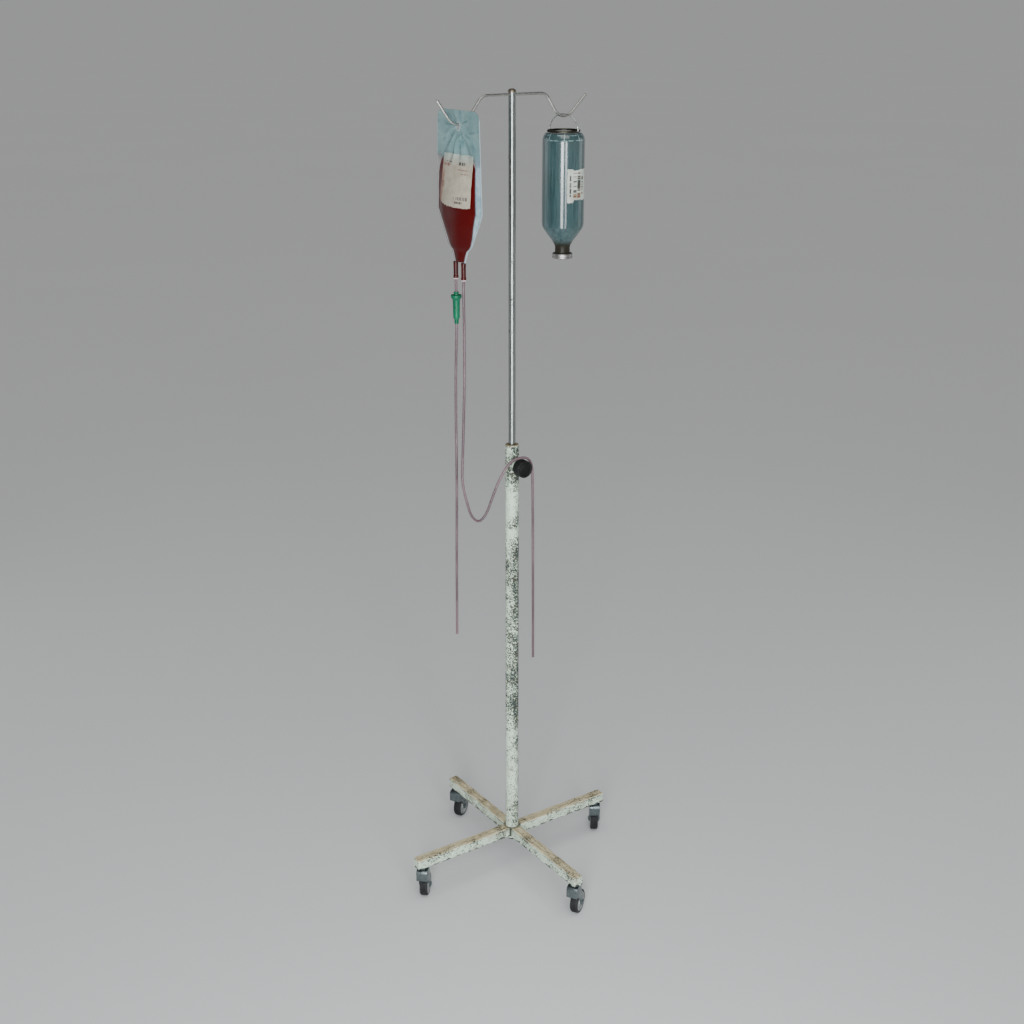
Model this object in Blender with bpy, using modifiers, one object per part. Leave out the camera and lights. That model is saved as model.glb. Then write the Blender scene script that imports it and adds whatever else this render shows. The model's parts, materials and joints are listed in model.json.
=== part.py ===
"""Wheeled drip stand with a blood bag on one hook and an infusion bottle on the other.

Metres, +Z up. The origin is on the floor, under the column's axis. +X runs along the leg on the bottle's
side, -X along the leg on the bag's side, and -Y along the leg under the clamp knob.
"""

import math

import bmesh
import bpy
from mathutils import Matrix, Vector

# Clearances
GAP = 0.0003  # between pieces that touch
PLAY = 0.0001  # round a shaft that turns in its bore

# Sides of a turned piece
ROUND = 24
BIG_ROUND = 32
SMALL_ROUND = 16

# Base: four square legs in a cross, on swivel casters
LEG_TOP = 0.120
LEG_WIDTH = 0.0255
LEG_WALL = 0.0018
LEG_REACH = 0.280  # from the column's axis to a leg's rounded end
LEG_BOTTOM = LEG_TOP - LEG_WIDTH
CAP_FRONT = 0.007
CROSS_HOLE_R = 0.008
SIDES = {"right": 0.0, "rear": 90.0, "left": 180.0, "front": 270.0}

SWIVEL_REACH = 0.262  # from the column's axis to a caster's swivel axis
TRAIL = 0.026  # from the swivel axis back to the axle
WHEEL_R = 0.0290
WHEEL_STEPS = 28
FORK_WIDTH = 0.027
FORK_SHEET = 0.0025
FORK_TOP = LEG_BOTTOM - 0.0055
STEM_R = 0.005
NUT_HEIGHT = 0.008
AXLE_R = 0.0039
TRAIL_HEADINGS = {"right": 55.0, "rear": 33.0, "left": 48.0, "front": 33.0}

# Column, clamp and sliding rod
COLUMN_R = 0.01575
COLUMN_WALL = 0.0015
COLUMN_TOP = 1.1205
CLAMP_Z = 1.073
STUD_R = 0.004
KNOB_R = 0.020
KNOB_BACK = 0.030  # from the column's axis
KNOB_FRONT = 0.054
ROD_R = 0.008
ROD_WALL = 0.0015
ROD_TOP = 1.8915
ROD_FOOT = 0.910

# Hooks: one wire through the rod's top
HOOK_Z = 1.886
HOOK_R = 0.003
BAG_HOOK = [(0.0746, 1.8857), (0.1335, 1.8105), (0.1853, 1.8815)]  # corners: distance out, height
BOTTLE_HOOK = [(0.0870, 1.8857), (0.1310, 1.8192), (0.1945, 1.8808)]
BAG_HANG = (-0.134, 1.8311)  # X and height of the wire where the bag hangs
BOTTLE_HANG = (0.1355, 1.8366)

# Blood bag, with its ports and lines
BAG_TOP = 1.860
BAG_BOTTOM = 1.548
BAG_WIDTHS = [  # height, half the width
    (1.840, 0.0800),
    (1.655, 0.0880),
    (1.640, 0.0805),
    (1.583, 0.0465),
    (1.572, 0.0315),
    (BAG_BOTTOM, 0.0210),
]
BAG_CORNER = 0.020
BAG_BELLY = 0.025  # half its thickness where it is fullest
PORT_R = 0.0060
PORT_ENDS = {"rear": (0.0165, 1.5120), "front": (-0.0140, 1.5115)}  # Y, and the lower end's height
PORT_CAP = 0.0025
PORT_CAP_R = 0.0058
LINE_R = 0.0030
CONNECTOR_TOP = 1.4815
CONNECTOR_BOTTOM = 1.4120

# Infusion bottle, neck down
BOTTLE_R = 0.0468
BOTTLE_TOP = 1.803
GLASS = 0.003
NECK_R = 0.0165
LIP_R = 0.0208
LIP_BOTTOM = 1.5345
RING_R = 0.0365
BAIL_R = 0.0011
BAIL_TURN = math.radians(17)  # the bail's plane from square to the hook

FINISHES = {  # colour, roughness, metallic, alpha
    "paint": ((0.80, 0.78, 0.68), 0.5, 0.0, 1.0),
    "zinc": ((0.62, 0.65, 0.66), 0.38, 0.9, 1.0),
    "steel": ((0.72, 0.74, 0.76), 0.25, 1.0, 1.0),
    "bronze": ((0.30, 0.25, 0.20), 0.45, 0.6, 1.0),
    "black": ((0.03, 0.03, 0.03), 0.5, 0.0, 1.0),
    "nylon": ((0.75, 0.74, 0.70), 0.55, 0.0, 1.0),
    "brass": ((0.70, 0.52, 0.22), 0.35, 1.0, 1.0),
    "rubber": ((0.05, 0.05, 0.05), 0.8, 0.0, 1.0),
    "grey": ((0.60, 0.61, 0.60), 0.5, 0.0, 1.0),
    "blood": ((0.22, 0.01, 0.01), 0.3, 0.0, 0.95),
    "port": ((0.30, 0.04, 0.04), 0.3, 0.0, 0.9),
    "pink": ((0.78, 0.62, 0.62), 0.4, 0.0, 1.0),
    "green": ((0.02, 0.33, 0.19), 0.3, 0.0, 1.0),
    "line": ((0.48, 0.40, 0.42), 0.35, 0.0, 1.0),
    "glass": ((0.10, 0.17, 0.19), 0.08, 0.0, 0.6),
    "stopper": ((0.35, 0.33, 0.31), 0.7, 0.0, 1.0),
}


def start_scene():
    """Clears the scene and makes the two collections."""
    for obj in list(bpy.data.objects):
        bpy.data.objects.remove(obj)
    for name in ("drip_stand", "cutters"):
        bpy.context.scene.collection.children.link(bpy.data.collections.new(name))


def new_material(name, colour, roughness, metallic, alpha):
    material = bpy.data.materials.new(name)
    material.use_nodes = True
    shader = material.node_tree.nodes["Principled BSDF"]
    shader.inputs["Base Color"].default_value = (*colour, 1.0)
    shader.inputs["Roughness"].default_value = roughness
    shader.inputs["Metallic"].default_value = metallic
    shader.inputs["Alpha"].default_value = alpha
    return material


def add_part(name, data, finish, parent=None, location=(0, 0, 0), rotation=(0, 0, 0)):
    """One sub-part, with a material of its own."""
    obj = bpy.data.objects.new(name, data)
    bpy.data.collections["drip_stand"].objects.link(obj)
    obj.parent = parent
    obj.location = location
    obj.rotation_euler = rotation
    data.materials.clear()
    data.materials.append(new_material(name, *FINISHES[finish]))
    if isinstance(data, bpy.types.Mesh):
        data.shade_smooth()
        data.set_sharp_from_angle(angle=math.radians(35))
    return obj


def add_empty(name, parent=None, location=(0, 0, 0), turn=0.0):
    """A pivot: its Z rotation is turn, in radians."""
    empty = bpy.data.objects.new(name, None)
    bpy.data.collections["drip_stand"].objects.link(empty)
    empty.parent = parent
    empty.location = location
    empty.rotation_euler = (0, 0, turn)
    return empty


def evaluated_mesh(obj, *helpers):
    """The mesh that obj's modifiers or bevel give, welded. obj and its helpers are then removed."""
    bpy.context.view_layer.update()
    depsgraph = bpy.context.evaluated_depsgraph_get()
    mesh = bpy.data.meshes.new_from_object(obj.evaluated_get(depsgraph))
    for old in (obj, *helpers):
        bpy.data.objects.remove(old)
    bm = bmesh.new()
    bm.from_mesh(mesh)
    bmesh.ops.remove_doubles(bm, verts=bm.verts, dist=0.00001)
    bm.to_mesh(mesh)
    bm.free()
    return mesh


def helper(data):
    """An object that only shapes another."""
    obj = bpy.data.objects.new("helper", data)
    obj.hide_render = True
    obj.display_type = "WIRE"
    bpy.data.collections["cutters"].objects.link(obj)
    return obj


def combined(mesh, tool, operation="DIFFERENCE"):
    """The mesh with the tool mesh cut from it, or joined to it."""
    body = helper(mesh)
    other = helper(tool)
    modifier = body.modifiers.new("Boolean", "BOOLEAN")
    modifier.operation = operation
    modifier.solver = "EXACT"
    modifier.object = other
    return evaluated_mesh(body, other)


def turned(profile, steps=ROUND, closed=False):
    """A solid turned about Z from (radius, height) points, down the outer side first."""
    mesh = bpy.data.meshes.new("profile")
    edges = [(i, i + 1) for i in range(len(profile) - 1)]
    if closed:
        edges.append((len(profile) - 1, 0))
    mesh.from_pydata([(radius, 0.0, height) for radius, height in profile], edges, [])
    body = helper(mesh)
    screw = body.modifiers.new("Turn", "SCREW")
    screw.steps = steps
    screw.render_steps = steps
    screw.use_merge_vertices = True
    screw.merge_threshold = 0.00001
    return evaluated_mesh(body)


def tube(outer, inner, low, high, steps=ROUND):
    return turned([(outer, high), (outer, low), (inner, low), (inner, high)], steps, closed=True)


def rod_of(radius, low, high, steps=ROUND):
    return turned([(0, high), (radius, high), (radius, low), (0, low)], steps)


def bore(shaft, play=GAP, steps=ROUND):
    """The radius of a bore whose flats clear a shaft of that radius by play."""
    return (shaft + play) / math.cos(math.pi / steps)


def box(low, high, rounding=0.0, along="X"):
    """A box between two corners, with the edges along one axis rounded."""
    bm = bmesh.new()
    bmesh.ops.create_cube(bm, size=1.0)
    size = Vector(high) - Vector(low)
    centre = (Vector(high) + Vector(low)) / 2
    bmesh.ops.transform(bm, matrix=Matrix.Translation(centre) @ Matrix.Diagonal((*size, 1)), verts=bm.verts)
    if rounding:
        axis = "XYZ".index(along)
        edges = [e for e in bm.edges if abs(e.verts[0].co[axis] - e.verts[1].co[axis]) > size[axis] / 2]
        bmesh.ops.bevel(bm, geom=edges, offset=rounding, segments=3, profile=0.5, affect="EDGES")
    mesh = bpy.data.meshes.new("box")
    bm.to_mesh(mesh)
    bm.free()
    return mesh


def moved(mesh, matrix):
    mesh.transform(matrix)
    return mesh


def across_y(mesh):
    """The mesh with its Z axis laid along -Y."""
    return moved(mesh, Matrix.Rotation(math.radians(90), 4, "X"))


def across_x(mesh):
    """The mesh with its Z axis laid along X."""
    return moved(mesh, Matrix.Rotation(math.radians(90), 4, "Y"))


def arc(centre, radius, start, end, count):
    """Points on an arc, from one angle to another in degrees."""
    angles = [math.radians(start + (end - start) * i / (count - 1)) for i in range(count)]
    return [(centre[0] + radius * math.cos(a), centre[1] + radius * math.sin(a)) for a in angles]


def plate(outline, thickness):
    """A flat outline in X and Z, extruded equally to both sides along Y."""
    curve = bpy.data.curves.new("outline", "CURVE")
    curve.dimensions = "2D"
    curve.fill_mode = "BOTH"
    curve.extrude = thickness / 2
    spline = curve.splines.new("POLY")
    spline.points.add(len(outline) - 1)
    for point, (x, y) in zip(spline.points, outline):
        point.co = (x, y, 0, 1)
    spline.use_cyclic_u = True
    return across_y(evaluated_mesh(helper(curve)))


def wire(points, radius, resolution=2):
    """A round wire through the points, as a curve with filled ends."""
    curve = bpy.data.curves.new("wire", "CURVE")
    curve.dimensions = "3D"
    curve.bevel_depth = radius
    curve.bevel_resolution = resolution
    curve.use_fill_caps = True
    spline = curve.splines.new("POLY")
    spline.points.add(len(points) - 1)
    for point, place in zip(spline.points, points):
        point.co = (*place, 1)
        point.radius = 1.0
    return curve


def rounded_path(corners, radius, count=6):
    """A path through corners in 3D, with each inner corner rounded by an arc."""
    corners = [Vector(c) for c in corners]
    path = [corners[0]]
    for before, corner, after in zip(corners, corners[1:], corners[2:]):
        back = (before - corner).normalized()
        ahead = (after - corner).normalized()
        half = back.angle(ahead) / 2
        centre = corner + (back + ahead).normalized() * (radius / math.sin(half))
        start = (corner + back * (radius / math.tan(half)) - centre).normalized()
        end = (corner + ahead * (radius / math.tan(half)) - centre).normalized()
        for i in range(count):
            path.append(centre + radius * start.slerp(end, i / (count - 1)))
    path.append(corners[-1])
    return path


def smooth_path(route, step):
    """Evenly spaced points on a Catmull-Rom curve through the route's points."""
    route = [Vector(p) for p in route]
    route = [2 * route[0] - route[1], *route, 2 * route[-1] - route[-2]]
    fine = []
    for a, b, c, d in zip(route, route[1:], route[2:], route[3:]):
        for i in range(40):
            t = i / 40
            fine.append(
                0.5 * ((2 * b) + (c - a) * t + (2 * a - 5 * b + 4 * c - d) * t**2)
                + 0.5 * (3 * b - a - 3 * c + d) * t**3
            )
    fine.append(route[-2])
    lengths = [0.0]
    for a, b in zip(fine, fine[1:]):
        lengths.append(lengths[-1] + (b - a).length)
    count = max(2, round(lengths[-1] / step))
    path, i = [], 0
    for k in range(count + 1):
        want = lengths[-1] * k / count
        while i < len(lengths) - 2 and lengths[i + 1] < want:
            i += 1
        share = (want - lengths[i]) / (lengths[i + 1] - lengths[i])
        path.append(fine[i].lerp(fine[i + 1], min(share, 1.0)))
    return path


def leg_mesh():
    """A leg along +X: square tube, mitred at the cross, bored for the bolt and for its caster's stud."""
    end = LEG_REACH - CAP_FRONT
    half = LEG_WIDTH / 2
    inside = half - LEG_WALL
    middle = LEG_TOP - half
    leg = box((-0.02, -half, LEG_BOTTOM), (end, half, LEG_TOP), rounding=0.003)
    leg = combined(leg, box((-0.04, -inside, middle - inside), (end + 0.01, inside, middle + inside)))
    for side in (-1, 1):
        mitre = box((-0.1, -0.1, 0.05), (GAP / 2, 0.1, 0.2))
        leg = combined(leg, moved(mitre, Matrix.Rotation(math.radians(45 * side), 4, "Z")))
    leg = combined(leg, rod_of(CROSS_HOLE_R, 0.05, 0.2))
    hole = moved(rod_of(STEM_R + 0.0006, 0.05, middle), Matrix.Translation((SWIVEL_REACH, 0, 0)))
    return combined(leg, hole)


def leg_cap_mesh():
    """The rounded end of a leg, with the plug that holds it in the tube."""
    half = LEG_WIDTH / 2
    inside = half - LEG_WALL - GAP
    middle = LEG_TOP - half
    start = LEG_REACH - CAP_FRONT + GAP
    corner = 0.006
    outline = [(start, -half), *arc((LEG_REACH - corner, -half + corner), corner, -90, 0, 5)]
    outline += [*arc((LEG_REACH - corner, half - corner), corner, 0, 90, 5), (start, half)]
    front = plate(outline, LEG_WIDTH)
    front = moved(front, Matrix.Translation((0, 0, middle)) @ Matrix.Rotation(math.radians(-90), 4, "X"))
    over_nut = LEG_BOTTOM + LEG_WALL + NUT_HEIGHT + 0.0015
    plug = box((start - 0.0055, -inside, over_nut), (start + 0.002, inside, middle + inside))
    return combined(front, plug, "UNION")


def build_base():
    leg = leg_mesh()
    cap = leg_cap_mesh()
    for side, heading in SIDES.items():
        turn = (0, 0, math.radians(heading))
        add_part(f"leg_{side}", leg.copy(), "paint", rotation=turn)
        add_part(f"leg_cap_{side}", cap.copy(), "paint", rotation=turn)
    plate_top = LEG_BOTTOM - GAP
    plate_bottom = plate_top - 0.004
    add_part("base_plate", tube(0.0172, 0.0066, plate_bottom, plate_top, steps=BIG_ROUND), "zinc")
    head = rod_of(0.011, plate_bottom - GAP - 0.0075, plate_bottom - GAP, steps=6)
    shank = rod_of(0.006, plate_bottom - GAP - 0.002, 0.139)
    add_part("base_bolt", combined(head, shank, "UNION"), "zinc")


def fork_mesh():
    """A caster's fork: a hood over the wheel, with an arm down each side to the axle.

    X runs back along the trail, from the swivel axis, and heights are from the floor.
    """
    front = -0.0155
    nose = 0.008
    boss = 0.0085
    outline = [(front, 0.0615), *arc((front + nose, FORK_TOP - nose), nose, 180, 90, 5)]
    outline += [(0.013, FORK_TOP), (0.0165, 0.075), (0.0290, 0.050)]
    outline += arc((TRAIL, WHEEL_R), boss, 20, -190, 9)
    outline += [(0.0095, 0.046), (-0.002, 0.058)]
    fork = plate(outline, FORK_WIDTH)
    slot = FORK_WIDTH / 2 - FORK_SHEET
    ceiling = FORK_TOP - FORK_SHEET
    room = [(front + FORK_SHEET, -0.01), (0.08, -0.01), (0.08, ceiling)]
    room += [(front + 0.007, ceiling), (front + FORK_SHEET, ceiling - 0.0045)]
    fork = combined(fork, plate(room, 2 * slot))
    hole = bore(STEM_R, PLAY, SMALL_ROUND)
    fork = combined(fork, rod_of(hole, FORK_TOP - 0.01, FORK_TOP + 0.01, SMALL_ROUND))
    hole = across_y(rod_of(bore(AXLE_R, GAP, SMALL_ROUND), -0.03, 0.03, SMALL_ROUND))
    return combined(fork, moved(hole, Matrix.Translation((TRAIL, 0, WHEEL_R))))


def stem_mesh():
    """The stud that a caster swivels on: threaded top, collar under the leg, head under the hood."""
    head_top = FORK_TOP - FORK_SHEET - GAP
    profile = [(0, LEG_BOTTOM + 0.0135), (STEM_R, LEG_BOTTOM + 0.0135)]
    profile += [(STEM_R, LEG_BOTTOM - GAP), (0.010, LEG_BOTTOM - GAP), (0.010, FORK_TOP + GAP)]
    profile += [(STEM_R, FORK_TOP + GAP), (STEM_R, head_top), (0.0085, head_top), (0.007, head_top - 0.003)]
    return turned([*profile, (0, head_top - 0.003)], SMALL_ROUND)


def nut_mesh():
    """The hexagon nut inside the leg."""
    low = LEG_BOTTOM + LEG_WALL + GAP
    return combined(rod_of(0.0098, low, low + NUT_HEIGHT, steps=6), rod_of(STEM_R + GAP, 0.0, 0.2))


def axle_mesh():
    """The rivet that the wheel turns on, with a head outside each arm."""
    arm = FORK_WIDTH / 2 + GAP
    half = [(0, arm + 0.0022), (0.0052, arm + 0.0022), (0.0062, arm), (AXLE_R, arm)]
    return across_y(turned([*half, *[(radius, -height) for radius, height in reversed(half)]], SMALL_ROUND))


def upright(mesh):
    """A turned wheel piece with its axle along Y and one of its flats down."""
    half_step = Matrix.Rotation(math.pi / WHEEL_STEPS, 4, "Z")
    return across_y(moved(mesh, half_step))


def wheel_mesh():
    """The wheel's centre: rim, dished sides and hub."""
    side = [(0.0232, 0.0088), (0.0105, 0.0072), (0.0095, 0.0102)]
    hole = bore(AXLE_R, PLAY, WHEEL_STEPS)
    profile = [side[0], *[(radius, -height) for radius, height in side], (hole, -0.0102), (hole, 0.0102)]
    return upright(turned([*profile, *reversed(side[1:])], WHEEL_STEPS, closed=True))


def tyre_mesh():
    """The tyre, whose flats are at the wheel's radius."""
    tread = WHEEL_R / math.cos(math.pi / WHEEL_STEPS)
    inner = 0.0232 + 2 * GAP
    profile = [(tread - 0.0025, 0.0098), (tread, 0.0068), (tread, -0.0068), (tread - 0.0025, -0.0098)]
    return upright(turned([*profile, (inner, -0.0098), (inner, 0.0098)], WHEEL_STEPS, closed=True))


def build_casters():
    fork = fork_mesh()
    stem = stem_mesh()
    nut = nut_mesh()
    axle = axle_mesh()
    wheel = wheel_mesh()
    tyre = tyre_mesh()
    for side, heading in SIDES.items():
        angle = math.radians(heading)
        place = (SWIVEL_REACH * math.cos(angle), SWIVEL_REACH * math.sin(angle), 0)
        swivel = add_empty(f"swivel_{side}", location=place, turn=math.radians(TRAIL_HEADINGS[side]))
        add_part(f"caster_stem_{side}", stem.copy(), "zinc", location=place)
        add_part(f"caster_nut_{side}", nut.copy(), "zinc", location=place, rotation=(0, 0, angle))
        add_part(f"caster_fork_{side}", fork.copy(), "zinc", parent=swivel)
        hub = add_empty(f"hub_{side}", parent=swivel, location=(TRAIL, 0, WHEEL_R))
        add_part(f"caster_axle_{side}", axle.copy(), "zinc", parent=hub)
        add_part(f"caster_wheel_{side}", wheel.copy(), "grey", parent=hub)
        add_part(f"caster_tyre_{side}", tyre.copy(), "rubber", parent=hub)


def build_column():
    inside = COLUMN_R - COLUMN_WALL
    shoulder = COLUMN_TOP - 0.004
    outer = tube(COLUMN_R, inside, LEG_TOP + GAP, shoulder, steps=BIG_ROUND)
    hole = moved(across_y(rod_of(STUD_R + 0.0007, 0.0, 0.03)), Matrix.Translation((0, 0, CLAMP_Z)))
    add_part("column_tube", combined(outer, hole), "paint")

    plug = inside - GAP
    bolt = bore(0.006)
    foot_low = LEG_TOP + GAP
    foot = [(0, 0.150), (plug, 0.150), (plug, foot_low), (bolt, foot_low), (bolt, 0.141), (0, 0.141)]
    add_part("column_foot", turned(foot, steps=BIG_ROUND), "zinc")

    collar = [(COLUMN_R - 0.0015, COLUMN_TOP), (COLUMN_R, COLUMN_TOP - 0.0015), (COLUMN_R, shoulder + GAP)]
    collar += [(plug, shoulder + GAP), (plug, shoulder - 0.016)]
    hole = bore(ROD_R, PLAY, BIG_ROUND)
    collar += [(hole, shoulder - 0.016), (hole, COLUMN_TOP)]
    add_part("tube_collar", turned(collar, steps=BIG_ROUND, closed=True), "paint")


def build_clamp():
    """The clamp screw lies along -Y. Heights in the profiles are distances from the column's axis."""
    place = {"location": (0, 0, CLAMP_Z), "rotation": (math.radians(90), 0, 0)}
    boss = tube(0.010, bore(STUD_R), 0.0100, 0.0285)
    saddle = across_y(rod_of(COLUMN_R + GAP, -0.03, 0.03, steps=BIG_ROUND))
    add_part("clamp_boss", combined(boss, saddle), "paint", **place)

    hole = bore(STUD_R)
    groove = KNOB_FRONT - 0.0012
    knob = [(0, KNOB_FRONT), (0.0125, KNOB_FRONT), (0.0135, groove), (0.0165, groove)]
    knob += [(0.0185, KNOB_FRONT - 0.0005), (KNOB_R, KNOB_FRONT - 0.0025), (KNOB_R, KNOB_BACK + 0.002)]
    knob += [(KNOB_R - 0.002, KNOB_BACK), (hole, KNOB_BACK), (hole, 0.0505), (0, 0.0505)]
    add_part("clamp_knob", turned(knob), "black", **place)

    add_part("clamp_stud", rod_of(STUD_R, 0.0124, 0.0502), "zinc", **place)
    pad = [(0, 0.0121), (0.0035, 0.0121), (0.0035, ROD_R + 0.0008), (0.003, ROD_R + GAP), (0, ROD_R + GAP)]
    add_part("clamp_pad", turned(pad), "brass", **place)


def build_rod():
    inside = ROD_R - ROD_WALL
    flange = 0.0105
    profile = [(ROD_R, ROD_TOP), (ROD_R, ROD_FOOT + 0.005), (flange, ROD_FOOT + 0.005), (flange, ROD_FOOT)]
    rod = turned([*profile, (inside, ROD_FOOT), (inside, ROD_TOP)], closed=True)
    eye = moved(across_x(rod_of(HOOK_R + 0.0004, -0.03, 0.03)), Matrix.Translation((0, 0, HOOK_Z)))
    add_part("rod", combined(rod, eye), "steel")

    guide_low = ROD_FOOT + 0.005 + GAP
    guide_r = COLUMN_R - COLUMN_WALL - GAP
    guide = tube(guide_r, bore(ROD_R, PLAY, BIG_ROUND), guide_low, guide_low + 0.040, steps=BIG_ROUND)
    add_part("rod_guide", guide, "nylon")

    cap_r = 0.0088
    skirt = ROD_TOP - 0.0015
    under = ROD_TOP + GAP
    rise = 0.0055
    turns = [i * math.pi / 8 for i in range(5)]
    dome = [(cap_r * math.sin(a), ROD_TOP + 0.001 + rise * math.cos(a)) for a in turns]
    profile = [*dome, (cap_r, skirt), (ROD_R + GAP, skirt), (ROD_R + GAP, under), (0, under)]
    add_part("rod_cap", turned(profile), "bronze")


def build_hooks():
    """One wire through the rod: out level, down into a hook on each side, and up to an open tip."""
    sides = []
    for turn, hook in ((-1, BAG_HOOK), (1, BOTTLE_HOOK)):
        shoulder, valley, tip = [Vector((turn * x, 0, z)) for x, z in hook]
        middle = (shoulder + valley) / 2
        bend = rounded_path([(0, 0, HOOK_Z), shoulder, middle], 0.025, count=6)
        sides.append(bend[:-1] + rounded_path([middle, valley, tip], 0.031, count=11)[1:])
    left, right = sides
    add_part("hook_wire", wire([*reversed(left), *right[1:]], HOOK_R), "steel")


def bag_half_width(z):
    """Half the bag's width at a height: round top corners, long sides, and a funnel to the ports."""
    rise = z - (BAG_TOP - BAG_CORNER)
    if rise > 0:
        return BAG_WIDTHS[0][1] - BAG_CORNER + math.sqrt(max(BAG_CORNER**2 - rise**2, 0.0))
    for (high, upper), (low, lower) in zip(BAG_WIDTHS, BAG_WIDTHS[1:]):
        if z >= low:
            break
    return lower + (upper - lower) * (z - low) / (high - low)


def bag_half_thickness(z):
    """Half the bag's thickness at a height: flat film on top, full near the bottom."""
    film = 0.001
    full_top = 1.800
    fullest = 1.655
    if z > full_top:
        return film
    if z > fullest:
        share = (full_top - z) / (full_top - fullest)
        return film + (BAG_BELLY - film) * math.sin(share * math.pi / 2) ** 1.3
    return min(0.34 * bag_half_width(z), BAG_BELLY)


def bag_mesh():
    """Lens-shaped rings from the top edge to the neck, with a hole for the hook."""
    around = 20
    top_rings = [BAG_TOP - BAG_CORNER * (1 - math.cos(i * math.pi / 8)) for i in range(4)]
    straight = BAG_TOP - BAG_CORNER
    fullest = BAG_WIDTHS[1][0]
    low_rings = [straight - (straight - fullest) * i / 10 for i in range(11)]
    low_rings += [1.640, 1.621, 1.602, 1.583, 1.572, 1.560, BAG_BOTTOM]
    bm = bmesh.new()
    rings = []
    for z in [*top_rings, *low_rings]:
        ring = []
        for i in range(around):
            a = 2 * math.pi * (i + 0.5) / around
            bulge = math.copysign(0.001 + (bag_half_thickness(z) - 0.001) * math.sin(a) ** 2, math.sin(a))
            ring.append(bm.verts.new((bulge, bag_half_width(z) * math.cos(a), z)))
        rings.append(ring)
    for upper, lower in zip(rings, rings[1:]):
        for i in range(around):
            j = (i + 1) % around
            bm.faces.new((upper[i], upper[j], lower[j], lower[i]))
    bm.faces.new(rings[0])
    bm.faces.new(rings[-1])
    bmesh.ops.recalc_face_normals(bm, faces=bm.faces)
    mesh = bpy.data.meshes.new("bag")
    bm.to_mesh(mesh)
    bm.free()
    hole_r = 0.007
    hole = across_x(rod_of(hole_r, -0.02, 0.02))
    hole_z = BAG_HANG[1] + HOOK_R + GAP - hole_r * math.cos(math.pi / 24)
    return combined(mesh, moved(hole, Matrix.Translation((0, 0, hole_z))))


def build_bag(swing):
    """The bag and its ports, on the empty where the bag swings in its hook."""
    add_part("blood_bag", bag_mesh(), "blood", parent=swing, location=(0, 0, -BAG_HANG[1]))
    for side, (y, end) in PORT_ENDS.items():
        port = tube(PORT_R, PORT_R - 0.002, end + GAP, BAG_BOTTOM - GAP)
        add_part(f"bag_port_{side}", port, "port", parent=swing, location=(0, y, -BAG_HANG[1]))
        cap = turned([(0, end), (PORT_CAP_R, end), (PORT_CAP_R, end - PORT_CAP), (0, end - PORT_CAP)])
        add_part(f"port_cap_{side}", cap, "pink", parent=swing, location=(0, y, -BAG_HANG[1]))


def build_lines(swing):
    """The two lines below the bag: one hangs free from a connector, and one is draped over the knob.

    The route points are in the stand's own frame, so the pieces that swing with the bag are set back by
    the place of the empty that they hang on.
    """
    hung = {"parent": swing, "location": -swing.location}
    rear_y, rear_end = PORT_ENDS["rear"]
    front_y, front_end = PORT_ENDS["front"]
    top = rear_end - PORT_CAP - GAP
    bottom = CONNECTOR_TOP + GAP
    x = BAG_HANG[0]
    short = [(x, rear_y, top), (x - 0.0003, rear_y, 1.498), (x, rear_y, bottom)]
    add_part("line_short", wire(smooth_path(short, 0.008), LINE_R), "line", **hung)

    profile = [(0, CONNECTOR_TOP), (0.0062, CONNECTOR_TOP), (0.0062, 1.4750), (0.0120, 1.4755)]
    profile += [(0.0120, 1.4690), (0.0081, 1.4640), (0.0074, 1.4250), (0.0052, 1.4215)]
    profile += [(0.0046, CONNECTOR_BOTTOM)]
    connector = turned([*profile, (0, CONNECTOR_BOTTOM)])
    add_part("line_connector", connector, "green", parent=swing, location=(0, rear_y, -BAG_HANG[1]))

    free = [
        (-0.1340, 0.0165, CONNECTOR_BOTTOM - GAP),
        (-0.1342, 0.0178, 1.380),
        (-0.1347, 0.0212, 1.300),
        (-0.1352, 0.0226, 1.200),
        (-0.1354, 0.0221, 1.100),
        (-0.1360, 0.0226, 1.000),
        (-0.1367, 0.0244, 0.900),
        (-0.1373, 0.0254, 0.800),
        (-0.1377, 0.0258, 0.720),
        (-0.1380, 0.0262, 0.672),
    ]
    add_part("line_free", wire(smooth_path(free, 0.018), LINE_R), "line", **hung)

    draped = [
        (-0.1340, front_y, front_end - PORT_CAP - GAP),
        (-0.1345, -0.0139, 1.470),
        (-0.1344, -0.0147, 1.400),
        (-0.1352, -0.0148, 1.300),
        (-0.1380, -0.0136, 1.200),
        (-0.1415, -0.0136, 1.120),
        (-0.1445, -0.0150, 1.075),
        (-0.1415, -0.0170, 1.040),
        (-0.1346, -0.0197, 1.008),
        (-0.1262, -0.0219, 0.980),
        (-0.1115, -0.0248, 0.963),
        (-0.0985, -0.0275, 0.968),
        (-0.0872, -0.0305, 0.986),
        (-0.0768, -0.0338, 1.015),
        (-0.0620, -0.0374, 1.051),
        (-0.0450, -0.0400, 1.079),
        (-0.0300, -0.0413, 1.0938),
        (-0.0145, -0.0420, 1.0983),
        (0.0000, -0.0423, 1.0986),
        (0.0120, -0.0424, 1.0952),
        (0.0208, -0.0424, 1.0870),
        (0.0258, -0.0423, 1.0730),
        (0.0274, -0.0420, 1.0550),
        (0.0284, -0.0417, 1.0300),
        (0.0294, -0.0414, 0.980),
        (0.0304, -0.0412, 0.900),
        (0.0314, -0.0410, 0.800),
        (0.0322, -0.0409, 0.700),
        (0.0328, -0.0408, 0.592),
    ]
    add_part("line_draped", wire(smooth_path(draped, 0.017), LINE_R), "line")


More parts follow.
